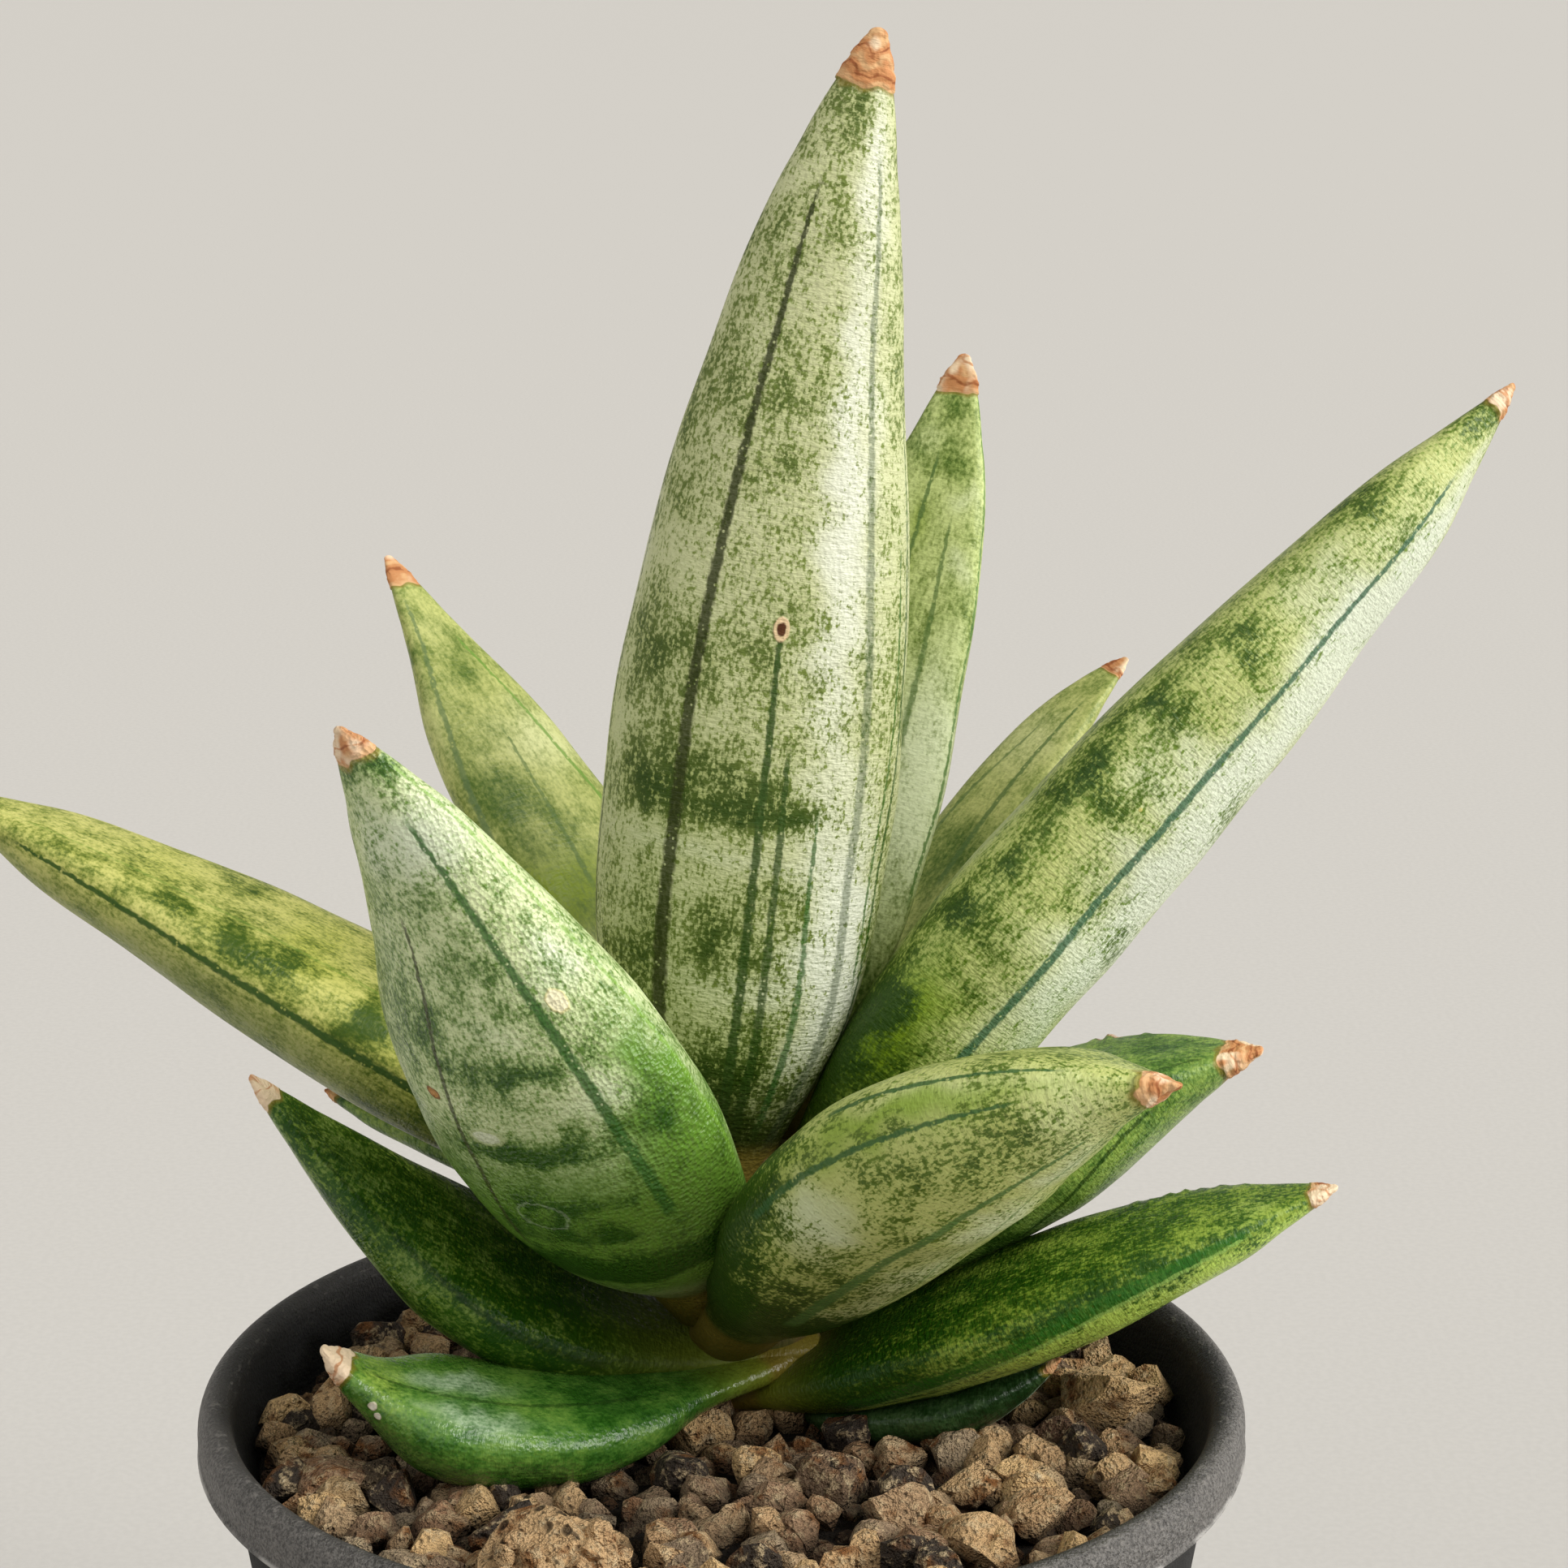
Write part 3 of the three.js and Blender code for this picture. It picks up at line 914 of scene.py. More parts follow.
LEAVES: tuple[Leaf, ...] = (
    Leaf(
        "leaf_front_left",
        spine=((-3.5, 3, 98), (-13.5, -8, 116), (-19, -17, 138.5), (-31.5, -25, 157.5)),
        widths=(11, 25, 31, 31.5, 28, 20, 12.5, 2.5), face=(0.6, 0.8, 0.8), fat=0.6,
        skin=FRESH_SKIN, dry=0.968, far=130, cream=0.5,
        veins=(
            Vein(0.87, 0.3, -47, -57, 0.2, 0.65),
            Vein(0.75, 0.26, 2, 11, 0.15, 0.3, 0.85, "#3f4420"),
            Vein(0.93, 0.3, -92, -98, 0.1, 0.25, 0.6, "#7fae3a"),
        ),
        patches=Patches(
            dark=(
                (0.693, -28, 0.015, 11, 0.5), (0.962, -22, 0.02, 70, 0.8),
                (0.817, -12, 0.027, 18, 0.3), (0.45, -70, 0.06, 13, 0.8),
                (0.613, 9, 0.045, 12, 0.4),
            ),
            bands=(
                (0.547, -25, 0.026, 26, 0.9), (0.425, -18, 0.035, 36, 1.5),
                (0.335, -22, 0.026, 30, 1.0), (0.27, -18, 0.05, 40, 1.25),
                (0.17, -10, 0.07, 100, 2.1),
            ),
            lime=(
                (0.4, -80, 0.12, 18, 1.0), (0.5, -80, 0.1, 13, 0.6), (0.25, -20, 0.19, 120, 1.25),
                (0.14, -80, 0.1, 30, 0.5),
            ),
            pale=(
                (0.86, -40, 0.06, 70, 0.75), (0.67, -73, 0.035, 16, 0.6),
                (0.503, -56, 0.045, 12, 0.5), (0.613, -24, 0.027, 14, 0.3),
                (0.31, -48, 0.05, 16, 0.7),
            ),
        ),
        marks=(
            Mark(0.63, -62, 0.7, 0.95, "#e4dc9c", "#f6f0c8", 0.7),
            Mark(0.46, -4, 1.7, 0.8, "#b8c68e", "#dbe2c2", 0.5, 0.9),
            Mark(0.32, -9, 2.2, 1.4, "#cfdcc0", "#cfdcc0", 0.82, 0.6, True),
            Mark(0.513, 15, 0.8, 0.5, "#8a5a24", "#c08a4a"),
        ),
    ),
    Leaf(
        "leaf_front_right",
        spine=((2.5, 3, 93.5), (15, -12, 111.5), (17.5, -24, 127.5), (38.5, -35, 129.5)),
        widths=(11, 20, 26, 28, 28.5, 25, 17, 2.5), face=(-0.4, 0.6, 1), fat=0.6,
        skin=OLIVE_PALE_SKIN, dry=0.967, far=-130, cleft=1.2, cream=0.46,
        veins=(
            Vein(0.83, 0.4, 80, 86, 0.1, 0.35), Vein(0.88, 0.62, 113, 115, 0.1, 0.3),
            Vein(0.88, 0.2, 17, 31, 0.13, 0.8, 0.9, "#557a3a"),
            Vein(0.94, 0.2, -3, -3, 0.1, 0.2, 0.6, "#5a8038"),
        ),
        patches=Patches(
            dark=(
                (0.82, 44, 0.06, 20, 0.4), (0.833, 45, 0.018, 12, 0.25), (0.74, 58, 0.06, 16, 0.3),
                (0.33, 22, 0.1, 34, 0.5), (0.32, 98, 0.2, 26, 1.5), (0.14, 55, 0.12, 160, 1.7),
            ),
            lime=((0.7, 93, 0.2, 15, 0.9),),
            pale=(
                (0.9, 60, 0.05, 60, 0.45), (0.827, -1, 0.06, 22, 0.8), (0.637, 0, 0.093, 19, 0.9),
                (0.41, 2, 0.095, 18, 0.65), (0.257, 11, 0.077, 20, 0.45),
                (0.49, 62, 0.08, 20, 1.0), (0.757, 103, 0.118, 24, 0.4),
            ),
        ),
    ),
    Leaf(
        "leaf_centre_tall", spine=((-1.5, 11, 106), (3, 11, 143), (5, 12, 179), (14.5, 14, 213.5)),
        widths=(12, 24, 27.5, 27.5, 24, 18.5, 12, 2.5), face=(0.1, 1, 0.1), fat=0.55,
        skin=PALE_SKIN, dry=0.956, far=180, cream=0.24,
        veins=(
            Vein(0.85, 0.02, 18.3, 31, 0.15, 0.85),
            # This line's paler colour is partly painted sheen over it.
            Vein(0.885, 0.02, -42, -56, 0.13, 0.6, 0.6, "#56684a"),
            Vein(0.49, 0.02, -8, -8, 0.22, 0.55, 0.9, "#35521a"),
            Vein(0.375, 0.05, -16, -19, 0.2, 0.5, 0.85, "#35521a"),
            Vein(0.32, 0.06, -31, -36, 0.13, 0.4, 0.8, "#3a6a2a"),
            Vein(0.68, 0.12, -81, -75, 0.08, 0.25, 0.85, "#2f5a14"),
            Vein(0.56, 0.2, -70, -68, 0.06, 0.16, 0.8, "#3a6a1a"),
            Vein(0.62, 0.2, 82, 78, 0.06, 0.16, 0.85, "#2a4416"),
        ),
        patches=Patches(
            dark=(
                (0.945, 20, 0.016, 40, 0.4), (0.903, 4, 0.047, 16, 0.25),
                (0.797, 44, 0.02, 10, 0.35), (0.76, -16, 0.02, 14, 0.25),
                (0.707, 19, 0.03, 45, 0.05), (0.663, 40, 0.03, 20, 0.1), (0.6, 56, 0.3, 22, 0.18),
                (0.687, -4, 0.03, 18, 0.12), (0.55, -4, 0.05, 16, 0.2), (0.45, 48, 0.05, 18, 0.28),
                (0.447, -31, 0.017, 11, 0.3), (0.373, 29, 0.035, 40, 0.4),
                (0.233, 7, 0.03, 13, 0.45), (0.19, 48, 0.035, 18, 0.75),
                (0.25, -25, 0.04, 10, 0.45), (0.113, -17, 0.052, 8, 0.6),
                (0.04, 5, 0.055, 95, 1.2),
            ),
            bands=((0.331, 36, 0.042, 44, 0.78), (0.332, -18, 0.022, 20, 0.75)),
            pale=(
                (0.295, 10, 0.012, 50, 0.35), (0.183, -14, 0.022, 43, 0.35),
                # The long pale patch at a turn of -34 is painted sheen.
                (0.6, -34, 0.28, 15, 0.9), (0.21, -54, 0.12, 20, 1.3), (0.9, -45, 0.06, 25, 0.5),
                (0.5, 90, 0.25, 12, 0.3),
            ),
        ),
        marks=(Mark(0.497, -8, 0.62, 0.95, "#eccfa4", "#5a3218", 0.3),),
    ),
    Leaf(
        "leaf_right_large", spine=((7.5, 14, 103), (27, 17, 133), (52, 20, 157), (75.5, 23, 180)),
        widths=(12, 25, 29.5, 29, 26.5, 21.5, 15, 2), face=(-0.7, 0.3, 0.7), fat=0.65,
        skin=GREEN_SKIN, dry=0.973, far=-95, cream=0.5,
        veins=(
            Vein(0.88, 0.17, 52, 52, 0.14, 0.62, 0.9, "#3d6a4c"),
            Vein(0.95, 0.15, -4, -4, 0.08, 0.2, 0.7, "#9cc060"),
            Vein(0.9, 0.3, 168, 172, 0.1, 0.2, 0.4, "#3a6020"),
        ),
        patches=Patches(
            dark=(
                (0.953, 95, 0.02, 70, 0.7), (0.873, 101, 0.012, 18, 0.35),
                (0.823, 90, 0.022, 24, 0.4), (0.723, 106, 0.013, 19, 0.5),
                (0.653, 96, 0.02, 18, 0.7), (0.463, 92, 0.034, 26, 0.95),
                (0.407, 100, 0.012, 12, 0.5), (0.367, 98, 0.015, 12, 0.5),
                (0.4, 114, 0.26, 16, 0.3), (0.303, 107, 0.026, 29, 0.8),
                (0.31, 79, 0.023, 16, 0.6), (0.247, 70, 0.012, 8, 0.6), (0.18, 116, 0.03, 24, 1.0),
                (0.11, 125, 0.12, 34, 1.5), (0.1, 60, 0.06, 22, 1.3), (0.53, 12, 0.03, 22, 0.8),
                (0.36, 22, 0.04, 20, 0.8),
            ),
            bands=((0.556, 102, 0.034, 22, 1.05),),
            lime=(
                (0.17, 96, 0.09, 30, 1.1), (0.517, 151, 0.25, 18, 0.45),
                (0.78, 118, 0.05, 24, 0.35),
            ),
            pale=(
                (0.535, 76, 0.02, 30, 0.45), (0.78, 24, 0.16, 34, 1.25), (0.42, 26, 0.24, 32, 1.2),
                (0.74, 82, 0.05, 30, 0.4), (0.5, 74, 0.02, 24, 0.3),
            ),
        ),
        marks=(
            Mark(0.59, -3, 0.9, 1.1, "#5c4a1e", "#b8a068", 0.4),
            Mark(0.475, 68, 0.16, 0.16, "#d8cc6a", "#e4dc8a"),
        ),
    ),
    Leaf(
        "leaf_gravel_left",
        spine=((4, 4, 88), (-11.5, -8, 86), (-26, -12, 86.5), (-36, -14, 96.5)),
        widths=(6, 6.5, 12.5, 16.5, 17.5, 16, 8.5, 2.5), face=(0, -0.1, 1), fat=0.6,
        skin=GLOSSY_SKIN, dry=0.943, far=15, shown=Shown.FACE, cream=0.72,
        veins=(
            Vein(0.88, 0.3, 200, 205, 0.12, 0.35, 0.5, "#12300a"),
            Vein(0.9, 0.3, 100, 100, 0.08, 0.16, 0.5, "#7a9a40"),
        ),
        patches=Patches(
            dark=((0.3, 180, 0.15, 120, 0.3),),
            lime=((0.88, 200, 0.06, 80, 0.8), (0.65, 130, 0.2, 20, 0.3)),
            # The two long pale bands are painted gloss highlight.
            pale=((0.7, 182, 0.13, 15, 1.1), (0.67, 228, 0.12, 15, 1.1)),
        ),
        marks=(
            Mark(0.873, -79, 0.35, 0.35, "#e6dcc0", "#efe8d4"),
            Mark(0.853, -71, 0.3, 0.3, "#e6dcc0", "#efe8d4"),
        ),
    ),
    Leaf(
        "leaf_low_right",
        spine=((3.5, 6, 84.5), (20.5, 0, 92.5), (37.5, -3, 102.5), (57, -5, 109)),
        widths=(8, 15, 19, 21, 20, 17, 11.5, 2), face=(-0.2, 0, 1), fat=0.5, skin=DARK_SKIN,
        dry=0.967, far=310, shown=Shown.FACE, cream=0.54,
        teeth=(
            (0.69, 225, 0.6), (0.72, 216, 0.8), (0.747, 228, 0.7), (0.773, 233, 0.9),
            (0.8, 234, 0.5), (0.833, 235, 0.7), (0.87, 230, 0.4),
        ),
        veins=(
            Vein(0.85, 0.2, 95, 62, 0.5, 1.1, 0.85, "#2c6a18"),
            Vein(0.85, 0.22, 87, 55, 0.1, 0.25, 0.8, "#8fb456"),
            Vein(0.95, 0.2, 44, 50, 0.2, 0.4, 0.85, "#a9c65a"),
        ),
        patches=Patches(
            dark=((0.17, 110, 0.14, 150, 1.3),),
            # The lime and pale patches round a turn of 54 are the lower margin's own lime,
            # brightened as painted light on a side that faces down.
            lime=(
                (0.66, 54, 0.34, 24, 1.7), (0.84, 130, 0.12, 60, 0.35), (0.6, 170, 0.16, 40, 0.4),
            ),
            pale=((0.68, 53, 0.3, 22, 1.3), (0.883, 147, 0.053, 38, 0.25)),
        ),
    ),
    Leaf(
        "leaf_low_left", spine=((4.5, 6, 89), (-15.5, 4, 88.5), (-29.5, 2, 102), (-44, 0, 118)),
        widths=(7, 10, 16, 20, 19, 14, 8, 1.5), face=(0.3, -0.2, 1), fat=0.55, skin=LOW_SKIN,
        dry=0.955, far=50, shown=Shown.FACE, cleft=1.0, cream=0.72,
        veins=(
            Vein(0.9, 0.3, 240, 262, 0.12, 0.4, 0.5, "#12300a"),
            Vein(0.95, 0.3, 316, 312, 0.14, 0.25, 0.7, "#9ab86a"),
        ),
        patches=Patches(
            dark=((0.3, 230, 0.2, 90, 0.3),),
            lime=((0.74, 140, 0.12, 30, 0.6), (0.9, 220, 0.05, 60, 0.35)),
            pale=((0.933, 313, 0.04, 30, 0.6), (0.75, 320, 0.1, 12, 0.55)),
        ),
    ),
    Leaf(
        "leaf_left_long",
        spine=((-2, 12, 102), (-27.5, 17, 115.5), (-52.5, 20, 130.5), (-77, 23, 140)),
        widths=(10, 18, 22, 22.5, 20, 16, 11, 2), face=(0.4, -0.1, 1), fat=0.65, skin=YELLOW_SKIN,
        dry=0.965, far=30,
        veins=(
            Vein(0.87, 0.3, -94, -86, 0.13, 0.45, 0.95, "#2f5212"),
            Vein(0.9, 0.3, -150, -150, 0.1, 0.25, 0.4, "#7a9a3a"),
        ),
        patches=Patches(
            dark=(
                (0.833, -125, 0.032, 30, 0.6), (0.683, -132, 0.027, 24, 1.1),
                (0.62, 168, 0.022, 17, 0.6), (0.59, -122, 0.034, 28, 1.5),
                (0.523, -128, 0.022, 20, 1.2), (0.42, -118, 0.03, 26, 1.4),
                # The long dark patch at a turn of -40 is painted shade on the underside; the wide
                # one low at -70 is painted shade where the leaf lies low.
                (0.6, -70, 0.03, 16, 0.4), (0.797, -75, 0.025, 16, 0.3), (0.6, -40, 0.4, 36, 0.6),
                (0.32, -70, 0.14, 60, 0.7),
            ),
            lime=(
                (0.723, -178, 0.06, 55, 0.35), (0.513, -166, 0.053, 57, 0.5),
                (0.3, -120, 0.1, 60, 0.6),
            ),
            # This long pale patch lays the grey-green underside: partly its own tone, partly
            # painted shade.
            pale=((0.6, -52, 0.45, 38, 0.8),),
        ),
    ),
    Leaf(
        "leaf_middle_right",
        spine=((8, 12, 91), (21, 13, 104.5), (34.5, 11, 114.5), (51, 7, 118.5)),
        widths=(9, 17, 23.5, 27, 27, 22, 13, 2), face=(-0.4, 0.1, 1), fat=0.55, skin=OLIVE_SKIN,
        dry=0.945, far=-90, cream=0.44,
        teeth=((0.72, 227, 1.3), (0.69, 226, 0.6), (0.79, 228, 0.5)),
        veins=(Vein(0.8, 0.3, 75, 20, 0.15, 0.5, 0.8), Vein(0.9, 0.3, 130, 110, 0.12, 0.4, 0.6)),
        patches=Patches(
            dark=((0.86, 154, 0.082, 28, 0.3), (0.3, 40, 0.15, 90, 0.4)),
            lime=((0.837, 69, 0.043, 36, 0.4),),
            pale=((0.523, 33, 0.04, 15, 0.9), (0.78, 24, 0.16, 24, 0.5)),
        ),
        marks=(Mark(0.72, -133, 0.8, 1.2, "#b08a6a", "#d8b8a0"),),
    ),
    Leaf(
        "leaf_back_right", spine=((7, 16, 110), (11.5, 23, 134), (19, 32, 157.5), (24, 40, 180.5)),
        widths=(9, 12, 15, 16, 15, 13, 9, 2), face=(-0.3, -1, 0.3), fat=0.5, skin=MINT_SKIN,
        dry=0.955, far=330, shown=Shown.FACE, cream=0.4,
        veins=(
            Vein(0.85, 0.6, 183, 190, 0.12, 0.3, 0.85), Vein(0.76, 0.3, 153, 158, 0.12, 0.4, 0.75),
            Vein(0.95, 0.3, 95, 102, 0.1, 0.2, 0.8, "#4a7a2a"),
        ),
        patches=Patches(
            dark=(
                (0.93, 171, 0.02, 60, 0.45), (0.847, 162, 0.012, 40, 0.35),
                (0.763, 130, 0.015, 23, 0.4), (0.67, 122, 0.017, 22, 0.4),
                (0.15, 180, 0.1, 120, 0.5),
            ),
            lime=((0.763, 185, 0.06, 16, 0.6),),
            pale=(
                (0.877, 207, 0.02, 41, 0.3), (0.803, 135, 0.022, 26, 0.5),
                (0.717, 130, 0.02, 18, 0.5), (0.42, 130, 0.17, 60, 1.2),
            ),
        ),
    ),
    Leaf(
        "leaf_back_left",
        spine=((-0.5, 17, 108), (-12, 25, 126.5), (-23.5, 35, 142.5), (-35, 46, 159)),
        widths=(9, 15, 18, 18.5, 17, 13.5, 7, 1.5), face=(0.6, -0.6, 0.5), fat=0.5,
        skin=CREAM_SKIN, dry=0.95, far=20, shown=Shown.FACE,
        veins=(
            Vein(0.9, 0.4, 224, 260, 0.12, 0.4, 0.7, "#5f7a4a"),
            Vein(0.65, 0.4, 183, 187, 0.1, 0.3, 0.7),
            Vein(0.82, 0.45, 156, 132, 0.12, 0.25, 0.8, "#6f9a3a"),
        ),
        patches=Patches(
            dark=(
                (0.78, 195, 0.023, 28, 0.5), (0.553, 218, 0.08, 36, 1.05),
                (0.603, 280, 0.03, 21, 0.35),
            ),
            lime=((0.387, 215, 0.07, 60, 1.1),),
            pale=(
                (0.863, 194, 0.03, 50, 0.25), (0.637, 155, 0.073, 46, 0.9),
                (0.7, 260, 0.1, 25, 0.4),
            ),
        ),
    ),
    Leaf(
        "leaf_right_small", spine=((7, 18, 105), (19, 34, 122), (28.5, 45, 137.5), (42, 52, 147)),
        widths=(8, 9.5, 11, 12, 11.5, 9.5, 6.5, 1.5), face=(-0.7, -0.6, 0.5), fat=0.5,
        skin=CREAM_SKIN, dry=0.96, far=10, shown=Shown.FACE, cream=0.45,
        veins=(
            Vein(0.85, 0.45, 154, 168, 0.1, 0.4, 0.8), Vein(0.77, 0.5, 193, 225, 0.1, 0.3, 0.7),
        ),
        patches=Patches(
            dark=(
                (0.5, 199, 0.06, 50, 0.75), (0.787, 194, 0.017, 31, 0.3),
                (0.3, 180, 0.12, 120, 0.6),
            ),
            pale=((0.75, 187, 0.1, 81, 0.6),),
        ),
    ),
    Leaf(
        "leaf_shaded_right", spine=((8, 6, 83), (16.5, 2, 84), (24.5, 0, 86), (32, -1, 90)),
        widths=(6, 11, 13, 13.5, 13.5, 11, 7, 1.5), face=(-0.1, 0, 1), fat=0.5, skin=SHADED_SKIN,
        dry=0.96, far=260, shown=Shown.FACE,
        veins=(Vein(0.95, 0.3, 30, 40, 0.3, 0.2, 0.8, "#b4ceb0"),),
    ),
    Leaf(
        "leaf_hidden_left",
        spine=((-3.5, 16, 97), (-16, 20, 100.5), (-29, 25, 103.5), (-41, 30, 106.5)),
        widths=(6, 9, 10, 10, 9, 7.5, 5.5, 1.5), face=(0.3, 0, 1), fat=0.5, skin=OLIVE_SKIN,
        dry=0.96, far=20, shown=Shown.FACE,
    ),
)


@dataclass(frozen=True)
class Form:
    """A leaf's rings before they are joined: one row a ring, lengths in mm."""

    shares: np.ndarray
    centres: np.ndarray
    along: np.ndarray
    widths: np.ndarray
    thick: np.ndarray

    def run(self) -> np.ndarray:
        """Give the distance along the spine at each ring."""
        steps = np.linalg.norm(np.diff(self.centres, axis=0), axis=1)
        return np.concatenate([[0], np.cumsum(steps)])


class LeafFinish:
    """The finish of one leaf: mottled ground, lines, healed marks and a dried tip."""

    dark_gain: float = 0.62
    pale_loss: float = 0.4
    lime_loss: float = 0.1
    soaked: float = 0.8
    dry_rough: float = 0.3
    scar_height: float = 0.5
    grain_shift: float = 0.013
    torn: str = "#84702c"
    border: str = "#8a7a2a"

    def __init__(self, leaf: Leaf, groups: SharedGroups, length: float) -> None:
        """Start the material and read what its layers share.

        Args:
            leaf: The leaf.
            groups: The shared node groups.
            length: The leaf's length along the spine, in mm.
        """
        self.leaf, self.groups, self.length = leaf, groups, length
        self.made, self.graph = new_material(leaf.name + "_skin")
        graph = self.graph
        shift = leaf.seed() % 97 * self.grain_shift
        self.place = graph.shifted(graph.attribute("straight"), (shift, -shift, 2 * shift))
        self.turn, self.share, self.reach = graph.parts(graph.attribute("skin"))
        self.ragged = graph.clouds(graph.scaled(self.place, (1.0, 1.0, 0.5)), 2400.0, 1.0)

    def ground(self) -> Value:
        """Lay the mottled ground with its dark, lime and pale patches.

        Returns:
            The colour.
        """
        graph, skin = self.graph, self.leaf.skin
        dark, lime, pale = graph.parts(graph.attribute("tone"))
        density = dark * self.dark_gain + skin.density
        mottle = graph.use(
            self.groups.mottle,
            place=self.place,
            density=density - pale * self.pale_loss - lime * self.lime_loss,
            banding=skin.banding,
            clump=skin.clump,
            soft=skin.soft,
        )
        speckle = graph.mix(mottle.level, skin.speckle, skin.deep)
        return graph.layers(
            graph.mix(mottle.level, skin.ground, skin.cloud),
            (graph.ramp(pale, 0.0, 1.1), skin.pale),
            (graph.ramp(lime, 0.0, 1.1), skin.lime),
            (graph.ramp(dark, 0.75, 1.7) * self.soaked, speckle),
            (mottle.speckle, speckle),
        )

    def lines(self) -> Iterator[tuple[Value, str]]:
        """Draw the leaf's lines.

        Yields:
            Where each is, and its colour.
        """
        graph = self.graph
        dots = graph.cells(graph.shifted(self.place, (0.3, 0.1, 0.7)), 1500.0)
        dots = graph.ramp(dots, 0.26, 0.14)
        for vein in (*self.leaf.veins, *self.leaf.far_veins()):
            drawn = graph.use(
                self.groups.vein, turn=self.turn, share=self.share, reach=self.reach,
                ragged=self.ragged, dots=dots, top_share=vein.top, low_share=vein.low,
                top_turn=vein.top_turn / 360, low_turn=vein.low_turn / 360,
                top_half=vein.top_half, low_half=vein.low_half, strength=vein.strength,
            )
            yield drawn.mask, vein.colour or self.leaf.skin.line

    def marks(self) -> Iterator[tuple[Value, Value]]:
        """Draw the leaf's healed marks.

        Yields:
            Where each is, and its colour.
        """
        for mark in self.leaf.marks:
            drawn = self.graph.use(
                self.groups.mark, turn=self.turn, share=self.share, reach=self.reach,
                ragged=self.ragged - 0.5, at_turn=self.leaf.stored(mark.turn / 360),
                at_share=mark.share, length=self.length, wide=mark.wide, high=mark.high,
                inner=mark.inner,
            )
            whole = drawn.whole * mark.strength
            if mark.hollow:
                whole = whole * (1.0 - drawn.middle)
            yield whole, self.graph.mix(drawn.middle, mark.rim, mark.middle)

    def make(self) -> bpy.types.Material:
        """Lay the finish out, from the ground up.

        Returns:
            The material.
        """
        graph, leaf, skin, share = self.graph, self.leaf, self.leaf.skin, self.share
        marks = list(self.marks())
        past = (share - leaf.dry) * self.length
        dry = graph.use(self.groups.dry, place=self.place, past=past, cream=leaf.cream)
        colour = graph.layers(
            self.ground(),
            *self.lines(),
            # Each leaf's foot takes its skin's foot colour: partly the neck's own olive and brown,
            # partly painted shade where the leaves crowd at the stem.
            (graph.ramp(share, skin.foot_reach, 0.0) * 0.9, skin.foot),
            (graph.ramp(share, 0.035, 0.01) * 0.8, self.torn),
            *marks,
            (dry.edge * 0.8, self.border),
            (dry.mask, dry.color),
        )
        haze = graph.clouds(self.place, 240.0, 1.0)
        rough = graph.ramp(haze, 0.3, 0.7, skin.roughness - 0.05, skin.roughness + 0.1)
        height = graph.use(
            self.groups.relief, place=self.place, wrinkle=skin.wrinkle, pebble=skin.pebble
        ).height
        if marks:
            scars = marks[0][0]
            for whole, _ in marks[1:]:
                scars = graph.math("MAXIMUM", scars, whole)
            height = height + scars * self.scar_height
        normal = graph.bump(height, 0.7, 0.0003)
        rough = rough + dry.mask * self.dry_rough
        dress(
            graph, Base_Color=colour, Roughness=rough, Normal=normal,
            Specular_IOR_Level=skin.shine,
        )
        return self.made


